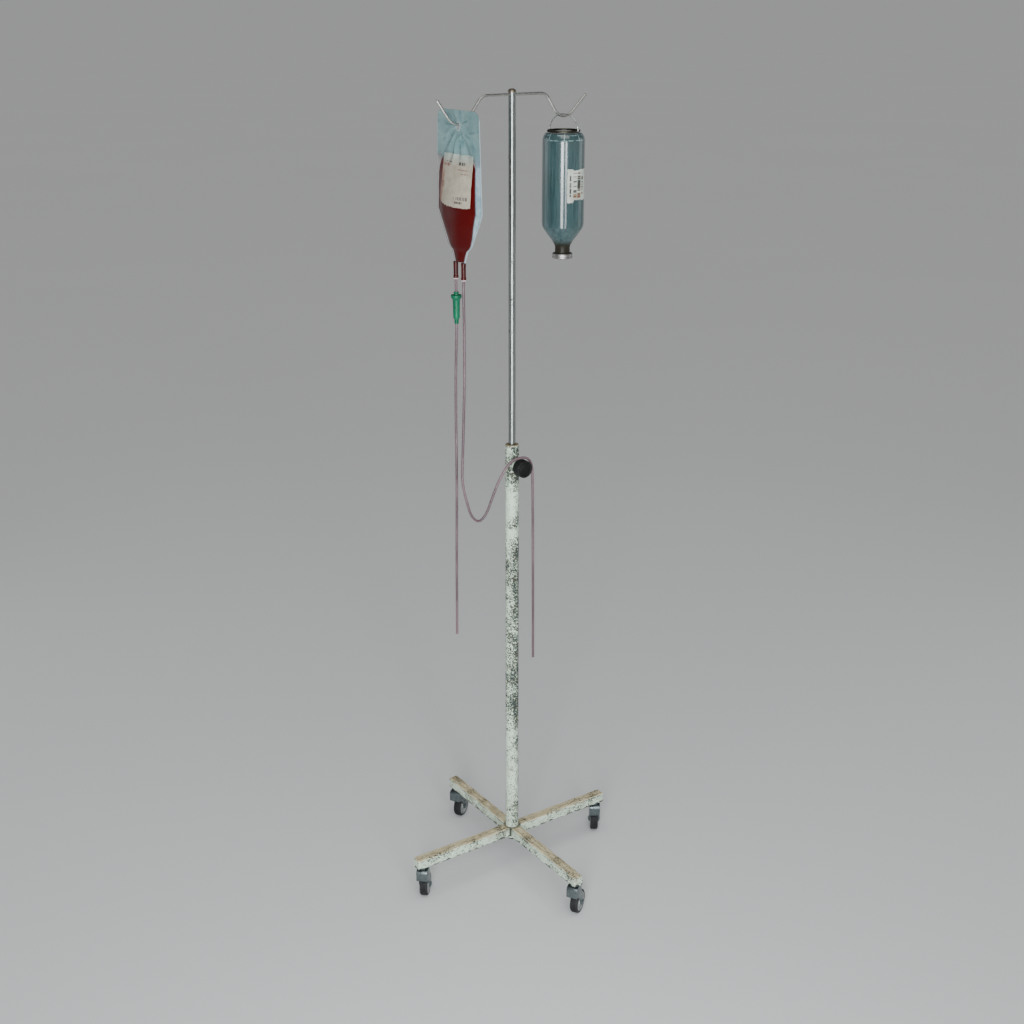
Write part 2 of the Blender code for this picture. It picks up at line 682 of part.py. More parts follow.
def bottle_mesh():
    """The glass: a thick base on top, round shoulders, and a neck with a lip around its mouth."""
    outside = [(0, BOTTLE_TOP - 0.002), (0.030, BOTTLE_TOP - 0.001)]
    outside += arc((BOTTLE_R - 0.0145, BOTTLE_TOP - 0.0145), 0.0145, 78, 0, 4)
    outside += [(BOTTLE_R, 1.613), (0.0455, 1.602), (0.0425, 1.595), (0.0384, 1.589), (0.0340, 1.5826)]
    outside += [(0.0284, 1.5758), (0.0222, 1.5675), (0.0175, 1.5595), (NECK_R, 1.555)]
    outside += [(NECK_R, 1.5435), (LIP_R, 1.5395), (LIP_R, LIP_BOTTOM)]
    mouth = 0.0115
    inside = [(mouth, LIP_BOTTOM), (mouth, 1.559), (0.0190, 1.569), (0.0305, 1.5845), (0.0400, 1.5975)]
    inside += [(BOTTLE_R - GLASS, 1.614), (BOTTLE_R - GLASS, BOTTLE_TOP - 0.016)]
    inside += [(0.034, BOTTLE_TOP - 0.0065), (0, BOTTLE_TOP - 0.0065)]
    return turned([*outside, *inside], BIG_ROUND)


def build_bottle():
    """The bottle hangs by a wire bail in a ring on its base.

    The bail swings in the hook, and the bottle tilts about the bail's feet.
    """
    ring_low = BOTTLE_TOP + GAP
    ring_high = 1.8078
    feet = (ring_low + ring_high) / 2
    hang_x, hang_z = BOTTLE_HANG
    swing = add_empty("bail_swing", location=(hang_x, 0, hang_z))
    tilt = add_empty("bottle_tilt", parent=swing, location=(0, 0, feet - hang_z), turn=BAIL_TURN)
    hung = {"parent": tilt, "location": (0, 0, -feet)}
    add_part("bottle", bottle_mesh(), "glass", **hung)

    under = LIP_BOTTOM - GAP
    foil = 1.5313
    stopper = [(0, 1.546), (0.0100, 1.546), (0.0112, 1.544), (0.0112, under), (0.0195, under)]
    stopper += [(0.0195, foil + GAP), (0, foil + GAP)]
    add_part("bottle_stopper", turned(stopper), "stopper", **hung)
    crimp_r = 0.0229
    face = foil - 0.0008
    crimp = [(0.0212, 1.5418), (crimp_r, 1.5408), (crimp_r, foil), (0.0220, face), (0.0060, face)]
    crimp += [(0.0060, foil), (LIP_R + GAP, foil), (LIP_R + GAP, 1.5412)]
    add_part("bottle_crimp", turned(crimp, steps=BIG_ROUND, closed=True), "zinc", **hung)

    ring = tube(RING_R, 0.0315, ring_low, ring_high, steps=BIG_ROUND)
    hole = across_y(rod_of(BAIL_R + 0.0004, -0.06, 0.06, steps=SMALL_ROUND))
    ring = combined(ring, moved(hole, Matrix.Translation((0, 0, feet))))
    add_part("hanger_ring", ring, "bronze", **hung)

    width = 0.0385
    height = hang_z + HOOK_R + GAP + BAIL_R - feet
    turns = [i * math.pi / 24 for i in range(2, 23)]
    arch = [(0, width * math.cos(a), feet + height * math.sin(a)) for a in turns]
    bail = [(0, 0.0330, feet), (0, 0.0372, feet), (0, 0.0382, feet + 0.0012), *arch]
    bail += [(0, -y, z) for x, y, z in reversed(bail[:3])]
    place = {"parent": swing, "location": (0, 0, -hang_z), "rotation": (0, 0, BAIL_TURN)}
    add_part("hanger_bail", wire(bail, BAIL_R, resolution=1), "steel", **place)


def main():
    start_scene()
    build_base()
    build_casters()
    build_column()
    build_clamp()
    build_rod()
    build_hooks()
    swing = add_empty("bag_swing", location=(BAG_HANG[0], 0, BAG_HANG[1]))
    build_bag(swing)
    build_lines(swing)
    build_bottle()


main()
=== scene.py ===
"""Looks of the wheeled drip stand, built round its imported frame. Metres, +Z up."""

import json
import math

import bmesh
import bpy
from mathutils import Matrix, Vector, noise


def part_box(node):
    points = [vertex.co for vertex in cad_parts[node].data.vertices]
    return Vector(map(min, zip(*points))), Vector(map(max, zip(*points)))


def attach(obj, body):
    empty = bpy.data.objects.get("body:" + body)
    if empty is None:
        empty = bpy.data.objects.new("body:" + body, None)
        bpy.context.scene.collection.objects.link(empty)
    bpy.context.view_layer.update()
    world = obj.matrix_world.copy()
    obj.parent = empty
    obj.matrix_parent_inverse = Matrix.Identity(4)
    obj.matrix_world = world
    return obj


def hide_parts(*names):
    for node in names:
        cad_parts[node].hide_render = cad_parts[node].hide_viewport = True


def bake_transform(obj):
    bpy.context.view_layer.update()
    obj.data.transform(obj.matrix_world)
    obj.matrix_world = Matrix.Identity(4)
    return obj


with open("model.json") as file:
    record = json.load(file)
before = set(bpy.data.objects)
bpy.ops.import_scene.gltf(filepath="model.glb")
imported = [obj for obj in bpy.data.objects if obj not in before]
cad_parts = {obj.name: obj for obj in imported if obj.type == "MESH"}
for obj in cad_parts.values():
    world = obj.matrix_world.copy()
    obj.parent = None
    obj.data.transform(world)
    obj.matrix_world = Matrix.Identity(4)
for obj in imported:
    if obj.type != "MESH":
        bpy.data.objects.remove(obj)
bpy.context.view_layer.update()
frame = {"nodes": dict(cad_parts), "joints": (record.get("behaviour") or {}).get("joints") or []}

SIDES = {"right": 0.0, "rear": 90.0, "left": 180.0, "front": 270.0}  # heading of each leg
JOINTS = {joint["name"]: joint for joint in frame["joints"]}

# Camera
VIEW_TURN = math.radians(34.26)
CAMERA_AT = (-1.7475, -2.5655, 2.082)
CAMERA_PITCH = math.radians(19.95)
TO_CAMERA = Vector((-math.sin(VIEW_TURN), -math.cos(VIEW_TURN), 0))
CAMERA_RIGHT = Vector((math.cos(VIEW_TURN), -math.sin(VIEW_TURN), 0))

FLOOR_R = 700

# Lines
LINE_R = 0.0030
LINE_STEP = 0.008
FREE_BEND = (1.40, 0.85)  # heights between which the free line passes from the bag to the mast
DRAPED_MEETS = (1.37, 1.02)  # heights where the draped line's stretches meet
DRAPED_LAID_X = -0.030  # where its loop lies down on the knob

# Bag
BAG_X = -0.134
BAG_SIDES = [(1.860, 0.0790), (1.840, 0.0798), (1.655, 0.0878), (1.640, 0.0803)]  # height, half width
BAG_SIDES += [(1.583, 0.0463), (1.572, 0.0313), (1.548, 0.0208)]
BAG_CORNER = 0.020
BAG_BELLY = 0.0248
FILM = 0.0007
SEAM = 0.0042
HOLE_R = 0.007
HOLE_Z = 1.8275

# Bottle
BOTTLE_X = 0.1355
GLASS = 0.0030
BAIL_TURN = math.radians(17)

# Mast, column and base
ROD_R = 0.008
ROD_WALL = 0.0015
HOOK_Z = 1.886
COLUMN_R = 0.01575
LEG_WALL = 0.0018
CROSS_R = 0.008  # the round gap for the bolt where the legs meet


# ---------------------------------------------------------------- meshes


def new_object(name, mesh):
    obj = bpy.data.objects.new(name, mesh)
    bpy.context.scene.collection.objects.link(obj)
    return obj


def mesh_of(bm, name):
    bmesh.ops.remove_doubles(bm, verts=bm.verts, dist=0.000002)
    bmesh.ops.recalc_face_normals(bm, faces=bm.faces)
    mesh = bpy.data.meshes.new(name)
    bm.to_mesh(mesh)
    bm.free()
    return mesh


def loft(name, rings, loop=False):
    """A closed mesh through rings of points. The ends are capped, or joined to each other for a loop."""
    bm = bmesh.new()
    rows = [[bm.verts.new(point) for point in ring] for ring in rings]
    pairs = list(zip(rows, rows[1:]))
    if loop:
        pairs.append((rows[-1], rows[0]))
    for one, other in pairs:
        for i in range(len(one)):
            j = (i + 1) % len(one)
            bm.faces.new((one[i], one[j], other[j], other[i]))
    if not loop:
        bm.faces.new(rows[0])
        bm.faces.new(rows[-1])
    return mesh_of(bm, name)


def turned(name, profile, steps=64, loop=False):
    """A mesh turned about Z from (radius, height) points."""
    turns = [2 * math.pi * i / steps for i in range(steps)]
    rings = [[(r * math.cos(a), r * math.sin(a), z) for a in turns] for r, z in profile]
    return loft(name, rings, loop)


def lathe(name, profile, radius, steps=96, count=4, closed=False, place=None):
    """A profile with its corners rounded by a radius, turned about Z and taken to its place."""
    mesh = turned(name, rounded(profile, radius, count, closed), steps, loop=closed)
    return moved(mesh, place or Matrix())


def rounded(corners, radius, count=4, closed=False):
    """2D points through corners, each corner rounded as far as its sides allow."""
    corners = [Vector(corner) for corner in corners]
    path = []
    last = len(corners) - 1
    for i, corner in enumerate(corners):
        if not closed and i in (0, last):
            path.append(tuple(corner))
            continue
        back = corners[i - 1] - corner
        ahead = corners[(i + 1) % len(corners)] - corner
        half = back.angle(ahead) / 2
        if half > math.radians(86):
            path.append(tuple(corner))
            continue
        reach = min(radius / math.tan(half), 0.45 * back.length, 0.45 * ahead.length)
        start = corner + back.normalized() * reach
        end = corner + ahead.normalized() * reach
        for k in range(count + 1):
            t = k / count
            path.append(tuple(start.lerp(corner, t).lerp(corner.lerp(end, t), t)))
    return path


def smooth_path(route, step):
    """Evenly spaced points on a Catmull-Rom curve through the route's points."""
    route = [Vector(p) for p in route]
    route = [2 * route[0] - route[1], *route, 2 * route[-1] - route[-2]]
    fine = []
    for a, b, c, d in zip(route, route[1:], route[2:], route[3:]):
        for i in range(40):
            t = i / 40
            fine.append(
                0.5 * ((2 * b) + (c - a) * t + (2 * a - 5 * b + 4 * c - d) * t**2)
                + 0.5 * (3 * b - a - 3 * c + d) * t**3
            )
    fine.append(route[-2])
    lengths = [0.0]
    for a, b in zip(fine, fine[1:]):
        lengths.append(lengths[-1] + (b - a).length)
    count = max(2, round(lengths[-1] / step))
    path, i = [], 0
    for k in range(count + 1):
        want = lengths[-1] * k / count
        while i < len(lengths) - 2 and lengths[i + 1] < want:
            i += 1
        share = (want - lengths[i]) / (lengths[i + 1] - lengths[i])
        path.append(fine[i].lerp(fine[i + 1], min(share, 1.0)))
    return path


def length_of(path):
    return sum((b - a).length for a, b in zip(path, path[1:]))


def sweep(name, path, radius, sides=16, dome=True):
    """A round wire along a path, whose ends are domed or cut square."""
    path = [Vector(p) for p in path]
    stations = [(point, radius) for point in path]
    if dome:
        first = (path[1] - path[0]).normalized()
        last = (path[-1] - path[-2]).normalized()
        turns = [math.radians(a) for a in (80, 60, 40, 20)]
        stations[0] = (path[0] + radius * first, radius)
        stations[-1] = (path[-1] - radius * last, radius)
        head = [(path[0] + radius * (1 - math.sin(a)) * first, radius * math.cos(a)) for a in turns]
        tail = [(path[-1] - radius * (1 - math.sin(a)) * last, radius * math.cos(a)) for a in turns]
        stations = [*head, *stations, *reversed(tail)]
    places = [place for place, r in stations]
    tangents = []
    for i in range(len(places)):
        tangents.append((places[min(i + 1, len(places) - 1)] - places[max(i - 1, 0)]).normalized())
    side = tangents[0].orthogonal().normalized()
    rings = []
    for (place, r), tangent in zip(stations, tangents):
        side = (side - side.dot(tangent) * tangent).normalized()
        other = tangent.cross(side)
        turns = [2 * math.pi * i / sides for i in range(sides)]
        rings.append([place + r * (math.cos(a) * side + math.sin(a) * other) for a in turns])
    return loft(name, rings)


def cut(mesh, tool):
    """The mesh with the tool mesh cut from it."""
    body = new_object("body", mesh)
    other = new_object("tool", tool)
    modifier = body.modifiers.new("Boolean", "BOOLEAN")
    modifier.solver = "EXACT"
    modifier.object = other
    return applied(body, other)


def drilled(mesh, radius, reach, place, steps=32):
    """The mesh with a round hole along place's own Z axis, as far as reach to each side of it."""
    drill = turned("drill", [(0, -reach), (radius, -reach), (radius, reach), (0, reach)], steps)
    return cut(mesh, moved(drill, place))


def applied(obj, *helpers):
    """The mesh that obj's modifiers give. obj and its helpers are removed."""
    bpy.context.view_layer.update()
    depsgraph = bpy.context.evaluated_depsgraph_get()
    mesh = bpy.data.meshes.new_from_object(obj.evaluated_get(depsgraph))
    for old in (obj, *helpers):
        bpy.data.objects.remove(old)
    return mesh


def moved(mesh, matrix):
    mesh.transform(matrix)
    return mesh


def laid(place, turn=0, axis="X"):
    """The matrix that turns a mesh by degrees about an axis, then takes it to its place."""
    return Matrix.Translation(place) @ Matrix.Rotation(math.radians(turn), 4, axis)


def upright(node):
    """The radius, bottom and top of an upright round CAD node."""
    low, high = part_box(node)
    return (high.x - low.x) / 2, low.z, high.z


def middle_of(node):
    low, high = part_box(node)
    return (low + high) / 2


def rough(x, y=0, z=0):
    """Smooth noise about 0, at a place in its own pattern."""
    return noise.noise(Vector((x, y, z)))


def paper(name, columns, rows, thickness, place_of):
    """A sheet of paper through place_of(across, up), whose shares go from 0 to 1."""
    bm = bmesh.new()
    grid = []
    for j in range(rows + 1):
        grid.append([bm.verts.new(place_of(i / columns, j / rows)) for i in range(columns + 1)])
    for a, b in zip(grid, grid[1:]):
        for i in range(columns):
            bm.faces.new((a[i], a[i + 1], b[i + 1], b[i]))
    sheet = new_object(name, mesh_of(bm, name))
    solid = sheet.modifiers.new("Paper", "SOLIDIFY")
    solid.thickness = thickness
    solid.offset = 0.0
    return applied(sheet)


def smoothstep(x, low, high):
    t = min(max((x - low) / (high - low), 0.0), 1.0)
    return t * t * (3 - 2 * t)


def add_piece(name, mesh, material, body, stands_for=(), angle=35):
    """A visible piece, with its finish, the body it moves with and the CAD nodes it stands for."""
    obj = new_object(name, mesh)
    mesh.materials.clear()
    mesh.materials.append(material)
    mesh.shade_smooth()
    mesh.set_sharp_from_angle(angle=math.radians(angle))
    if body:
        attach(obj, body)
    if stands_for:
        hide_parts(*stands_for)
    return obj


# ---------------------------------------------------------------- camera, light and floor


def add_camera():
    data = bpy.data.cameras.new("camera")
    data.lens = 50.1
    data.sensor_width = 36
    camera = new_object("camera", data)
    camera.location = CAMERA_AT
    camera.rotation_euler = (math.pi / 2 - CAMERA_PITCH, 0, -VIEW_TURN)
    bpy.context.scene.camera = camera


def add_light(name, place, aim, size, power, colour):
    data = bpy.data.lights.new(name, "AREA")
    data.shape = "RECTANGLE"
    data.size, data.size_y = size
    data.energy = power
    data.color = colour
    light = new_object(name, data)
    light.location = place
    light.rotation_euler = (Vector(aim) - Vector(place)).to_track_quat("-Z", "Y").to_euler()
    light.visible_camera = False


def from_camera(angle, distance, height):
    """A place at an angle round the column, from the camera's side, positive to the camera's right."""
    turn = math.radians(angle)
    flat = math.cos(turn) * TO_CAMERA + math.sin(turn) * CAMERA_RIGHT
    return distance * flat + Vector((0, 0, height))


def add_stage():
    """Two strip lights in front, weak ones at the sides, a broad sun, a dim world and a pale floor."""
    cool = (0.93, 0.98, 1.0)
    add_light("front_left", from_camera(-5, 2.7, 1.35), (0, 0, 1.1), (0.60, 2.4), 66, cool)
    add_light("front_right", from_camera(16, 2.7, 1.35), (0, 0, 1.1), (0.30, 2.4), 26, cool)
    add_light("side_right", from_camera(105, 2.8, 1.4), (0, 0, 1.0), (1.2, 2.2), 5, cool)
    add_light("side_left", from_camera(-110, 2.8, 1.4), (0, 0, 1.0), (1.2, 2.2), 4, cool)
    sun = bpy.data.lights.new("sun", "SUN")
    sun.energy = 1.05
    sun.angle = math.radians(50)
    sun.color = (1.0, 0.98, 0.95)
    new_object("sun", sun).rotation_euler = (math.radians(22), math.radians(-12), 0)
    add_world()

    bm = bmesh.new()
    bmesh.ops.create_circle(bm, cap_ends=True, segments=96, radius=FLOOR_R)
    floor = mesh_of(bm, "floor")
    finish = Finish("floor")
    tone = finish.mix(finish.patches(0.5, 0.3, 0.7, detail=1), (0.775, 0.782, 0.790), (0.785, 0.792, 0.800))
    floor.materials.append(finish.finished(tone, 0.7))
    floor_object = new_object("floor", floor)
    floor_object.location = (0, 0, -0.0005)


def add_world():
    """Dim light from all round, paler low down so that the floor's far edge doesn't show."""
    world = bpy.data.worlds.new("world")
    bpy.context.scene.world = world
    world.use_nodes = True
    nodes, links = world.node_tree.nodes, world.node_tree.links
    background = nodes["Background"]
    background.inputs["Color"].default_value = (0.80, 0.83, 0.86, 1)
    split = nodes.new("ShaderNodeSeparateXYZ")
    fade = nodes.new("ShaderNodeMapRange")
    fade.interpolation_type = "SMOOTHSTEP"
    for socket, value in (("From Min", 0.01), ("From Max", 0.40), ("To Min", 0.41), ("To Max", 0.17)):
        fade.inputs[socket].default_value = value
    links.new(nodes.new("ShaderNodeTexCoord").outputs["Generated"], split.inputs[0])
    links.new(split.outputs["Z"], fade.inputs["Value"])
    links.new(fade.outputs["Result"], background.inputs["Strength"])


# ---------------------------------------------------------------- finishes


class Value:
    """What a node gives. Arithmetic on it adds maths nodes."""

    def __init__(self, finish, socket):
        self.finish, self.socket = finish, socket

    def __add__(self, other):
        return self.finish.calc("ADD", self, other)

    def __sub__(self, other):
        return self.finish.calc("SUBTRACT", self, other)

    def __rsub__(self, other):
        return self.finish.calc("SUBTRACT", other, self)

    def __mul__(self, other):
        return self.finish.calc("MULTIPLY", self, other)

    def __truediv__(self, other):
        return self.finish.calc("DIVIDE", self, other)

    def __pow__(self, other):
        return self.finish.calc("POWER", self, other)

    def __gt__(self, other):
        return self.finish.calc("GREATER_THAN", self, other)

    def __lt__(self, other):
        return self.finish.calc("LESS_THAN", self, other)

    def __abs__(self):
        return self.finish.calc("ABSOLUTE", self)


class Finish:
    """A material's nodes. Patterns are in the stand's own metres, and move with the piece."""

    def __init__(self, name, constants=None):
        self.material = bpy.data.materials.new(name)
        self.material.use_nodes = True
        self.nodes = self.material.node_tree.nodes
        self.links = self.material.node_tree.links
        self.shader = self.nodes["Principled BSDF"]
        for key, value in (constants or {}).items():
            self.shader.inputs[key].default_value = value
        self.place = self.add("TexCoord", "Object")
        self.x, self.y, self.z = (self.add("SeparateXYZ", i, {0: self.place}) for i in range(3))

    def feed(self, socket, value):
        if isinstance(value, Value):
            self.links.new(value.socket, socket)
        else:
            socket.default_value = value

    def add(self, kind, output, inputs=None, **settings):
        """The named output of a new node."""
        made = self.nodes.new(f"ShaderNode{kind}")
        for name, value in settings.items():
            setattr(made, name, value)
        for key, value in (inputs or {}).items():
            self.feed(made.inputs[key], value)
        return Value(self, made.outputs[output])

    def scaled(self, x, y, z):
        return self.add("Mapping", "Vector", {"Vector": self.place, "Scale": (x, y, z)})

    def noise(self, scale, detail=2.0, roughness=0.5, place=None, distortion=0.0):
        inputs = {"Vector": place or self.place, "Scale": scale, "Detail": detail}
        inputs |= {"Roughness": roughness, "Distortion": distortion}
        return self.add("TexNoise", 0, inputs)

    def cells(self, scale):
        return self.add("TexVoronoi", "Distance", {"Vector": self.place, "Scale": scale})

    def step(self, value, low, high, start=0.0, end=1.0):
        """A smooth step from start to end as value goes from low to high."""
        inputs = {"Value": value, "From Min": low, "From Max": high, "To Min": start, "To Max": end}
        return self.add("MapRange", "Result", inputs, interpolation_type="SMOOTHSTEP")

    def patches(self, scale, low, high, start=0.0, end=1.0, detail=2, roughness=0.5):
        """Patches of noise, from start to end as the noise goes from low to high."""
        return self.step(self.noise(scale, detail, roughness), low, high, start, end)

    def calc(self, operation, a, b=0.0):
        return self.add("Math", 0, {0: a, 1: b}, operation=operation)

    def curve(self, value, stops):
        """A value read off a curve through (value, result) stops, both from 0 to 1."""
        result = self.add("ValToRGB", "Color", {"Fac": value})
        elements = result.socket.node.color_ramp.elements
        for position, level in stops[1:-1]:
            elements.new(position)
        for element, (position, level) in zip(elements, stops):
            element.position = position
            element.color = (level, level, level, 1)
        return result

    def mix(self, share, a, b):
        """Colour a where share is 0, and b where it is 1."""
        a, b = (value if isinstance(value, Value) else (*value, 1) for value in (a, b))
        return self.add("Mix", 2, {0: share, 6: a, 7: b}, data_type="RGBA")

    def finished(self, colour, roughness, height=None, depth=0.0, strength=0.6):
        """The material, given its colour, its roughness and, where it has bumps, their height pattern."""
        self.into("Base Color", colour)
        self.into("Roughness", roughness)
        if height:
            bump = {"Height": height, "Distance": depth, "Strength": strength}
            self.into("Normal", self.add("Bump", "Normal", bump))
        return self.material

    def into(self, socket, value):
        self.feed(self.shader.inputs[socket], value)


def worn_paint(name, density, top=None, low_edge=None):
    """Cream enamel with dark specks. density gives the share of specks from the finish's own nodes.

    top is the height over which a face is the yellowed top of a leg, and low_edge the height of the
    leg's ragged lower edge.
    """
    finish = Finish(name, {"Specular IOR Level": 0.4})
    tone = finish.patches(9, 0.3, 0.7, detail=4)
    paint = finish.mix(tone, (0.60, 0.72, 0.57), (0.74, 0.90, 0.72))
    stain = finish.patches(28, 0.50, 0.68, 0.0, 0.7 if top else 0.5, detail=5, roughness=0.65)
    paint = finish.mix(stain, paint, (0.34, 0.32, 0.23))
    if top:
        paint = leg_top(finish, paint, top)
    specks = finish.noise(300, detail=3, roughness=0.65, distortion=0.6)
    bare = finish.step(specks + density(finish), 0.615, 0.655)
    pits = finish.step(finish.cells(95), 0.16, 0.10)
    bare = finish.calc("MAXIMUM", bare, pits * finish.step(specks, 0.48, 0.56))
    if low_edge:
        reach = finish.z + finish.patches(75, 0.25, 0.75, -0.0050, 0.0050, detail=4, roughness=0.6)
        bare = finish.calc("MAXIMUM", bare, finish.step(reach, low_edge + 0.0042, low_edge + 0.0026))
    rust = finish.patches(60, 0.4, 0.65)
    metal = finish.mix(rust, (0.040, 0.054, 0.049), (0.060, 0.056, 0.040))
    orange_peel = finish.patches(420, 0.2, 0.8, 0.0, 0.12, detail=1)
    shine = finish.step(bare, 0.0, 1.0, 0.34, 0.62)
    return finish.finished(finish.mix(bare, paint, metal), shine, orange_peel - bare, 0.00035, 0.8)


def leg_top(finish, paint, top):
    """A leg's paint, yellowed on top, with cracks, a worn upper edge and a painted shadow round the column's
    foot.
    """
    grain = finish.patches(30, 0.35, 0.65, detail=5, roughness=0.6)
    tan = finish.mix(grain, (0.56, 0.47, 0.28), (0.74, 0.64, 0.41))
    bleached = finish.patches(42, 0.52, 0.66, 0.0, 0.6, detail=4, roughness=0.7)
    tan = finish.mix(bleached, tan, (0.74, 0.74, 0.56))
    edge = finish.z + finish.patches(120, 0.2, 0.8, -0.001, 0.001, detail=3)
    paint = finish.mix(finish.step(edge, top - 0.0022, top - 0.0006), paint, tan)
    near = finish.step(abs(edge - (top - 0.0036)), 0.0004, 0.0011, 1, 0)
    broken = finish.patches(38, 0.42, 0.54)
    paint = finish.mix(near * broken, paint, (0.07, 0.06, 0.045))
    lateral = finish.calc("MINIMUM", abs(finish.x), abs(finish.y))
    wander = finish.patches(22, 0.2, 0.8, -0.006, 0.006, detail=3)
    crack = finish.step(abs(lateral + wander - 0.0045), 0.0014, 0.0005) * finish.patches(15, 0.40, 0.50)
    paint = finish.mix(crack * 0.75, paint, (0.08, 0.07, 0.05))
    seam = finish.step(abs(abs(finish.x) - abs(finish.y)), 0.0030, 0.0008)
    paint = finish.mix(seam, paint, (0.045, 0.042, 0.035))
    from_column = finish.calc("SQRT", finish.x * finish.x + finish.y * finish.y)
    # a dark ring round the column's foot: painted contact shadow
    return finish.mix(finish.step(from_column, 0.0185, 0.0260, 0.8, 0.0), paint, (0.075, 0.070, 0.055))


def column_density(finish):
    """Specks crowd in bands up the column, and on the side away from the bag."""
    bands = [(0.10, 0.40), (0.15, 0.50), (0.24, 0.42), (0.33, 0.70), (0.39, 0.95), (0.50, 0.95), (0.55, 0.65)]
    bands += [(0.62, 0.95), (0.69, 0.90), (0.77, 0.56), (0.82, 0.36), (0.86, 0.90), (0.92, 0.90)]
    band = finish.curve(finish.z / 1.2, bands)
    across = finish.x * (CAMERA_RIGHT.x / COLUMN_R) + finish.y * (CAMERA_RIGHT.y / COLUMN_R)
    side = finish.step(across, -1.0, 1.0, -0.03, 0.05)
    return band * 0.20 - 0.035 + (side + finish.patches(34, 0.35, 0.65, -0.055, 0.06, detail=4, roughness=0.6))


def leg_density(finish):
    return finish.patches(17, 0.35, 0.70, -0.04, 0.15, detail=4, roughness=0.6)


def plain_density(finish):
    return finish.patches(60, 0.35, 0.75, -0.08, 0.08)


def metal_finish(name, light, dark, roughness, grain=(60, 60, 60), spots=0.72, bump=0.00008):
    """Worn bare metal, with a grain and dull spots."""
    finish = Finish(name, {"Metallic": 1.0})
    streak = finish.noise(8, detail=4, roughness=0.6, place=finish.scaled(*grain))
    dull = finish.patches(90, spots - 0.12, spots, detail=4, roughness=0.65)
    colour = finish.mix(finish.step(streak, 0.3, 0.7), dark, light)
    colour = finish.mix(dull, colour, tuple(0.35 * c for c in dark))
    base = finish.step(streak, 0.25, 0.75, roughness - 0.07, roughness + 0.08)
    return finish.finished(colour, base + dull * 0.3, streak - dull, bump)


def plastic_finish(name, light, dark, roughness, scale=60, grain=500, bump=0.00006, constants=None):
    """Moulded plastic or rubber: two near tones, a fine grain and scuffs."""
    finish = Finish(name, constants)
    tone = finish.patches(scale, 0.3, 0.7, detail=4, roughness=0.6)
    fine = finish.noise(grain)
    scuffs = finish.step(fine, 0.2, 0.8, roughness - 0.08, roughness + 0.1)
    return finish.finished(finish.mix(tone, dark, light), scuffs, fine, bump, 0.5)


# ---------------------------------------------------------------- lines


def line_finish():
    """Soft vinyl, greyish pink, a little uneven along its length."""
    constants = {"Subsurface Weight": 0.15, "Subsurface Scale": 0.002, "Coat Weight": 0.15}
    finish = Finish("line_vinyl", constants)
    tone = finish.patches(14, 0.35, 0.65, detail=3)
    colour = finish.mix(tone, (0.110, 0.068, 0.082), (0.175, 0.115, 0.132))
    shine = finish.patches(160, 0.3, 0.7, 0.28, 0.42)
    return finish.finished(colour, shine, finish.noise(300), 0.00005, 0.5)


def free_route(port_y):
    """The line from the rear port, through its connector, to its bare end."""
    return [
        (-0.1340, port_y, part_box("line_short")[1].z),
        (-0.1343, port_y, 1.498),
        (-0.1340, port_y, 1.4818),
        (-0.1340, port_y, 1.4117),
        (-0.1342, 0.0178, 1.380),
        (-0.1347, 0.0212, 1.300),
        (-0.1352, 0.0226, 1.200),
        (-0.1354, 0.0221, 1.100),
        (-0.1360, 0.0226, 1.000),
        (-0.1367, 0.0244, 0.900),
        (-0.1373, 0.0254, 0.800),
        (-0.1377, 0.0258, 0.720),
        (-0.1380, 0.0262, 0.672),
    ]


def draped_route(port_y):
    """The line from the front port, down in a loop, over the clamp knob, and down to its bare end."""
    return [
        (-0.1340, port_y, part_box("line_draped")[1].z),
        (-0.1345, -0.0139, 1.470),
        (-0.1344, -0.0147, 1.400),
        (-0.1352, -0.0148, 1.300),
        (-0.1380, -0.0136, 1.200),
        (-0.1415, -0.0136, 1.120),
        (-0.1445, -0.0150, 1.075),
        (-0.1415, -0.0170, 1.040),
        (-0.1346, -0.0197, 1.008),
        (-0.1262, -0.0219, 0.980),
        (-0.1115, -0.0248, 0.963),
        (-0.0985, -0.0275, 0.968),
        (-0.0872, -0.0305, 0.986),
        (-0.0768, -0.0338, 1.015),
        (-0.0620, -0.0374, 1.051),
        (-0.0450, -0.0400, 1.079),
        (-0.0300, -0.0413, 1.0938),
        (-0.0145, -0.0420, 1.0983),
        (0.0000, -0.0423, 1.0986),
        (0.0120, -0.0424, 1.0952),
        (0.0208, -0.0424, 1.0870),
        (0.0258, -0.0423, 1.0730),
        (0.0274, -0.0420, 1.0550),
        (0.0284, -0.0417, 1.0300),
        (0.0294, -0.0414, 0.980),
        (0.0304, -0.0412, 0.900),
        (0.0314, -0.0410, 0.800),
        (0.0322, -0.0409, 0.700),
        (0.0328, -0.0408, 0.592),
    ]


def add_line(name, path, nodes, material):
    """A stretch of line along its path, which starts where it leaves a port or a line."""
    line = add_piece(name, sweep(name, path, LINE_R, dome=False), material, None, nodes)
    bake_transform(line)
    length_of(path)


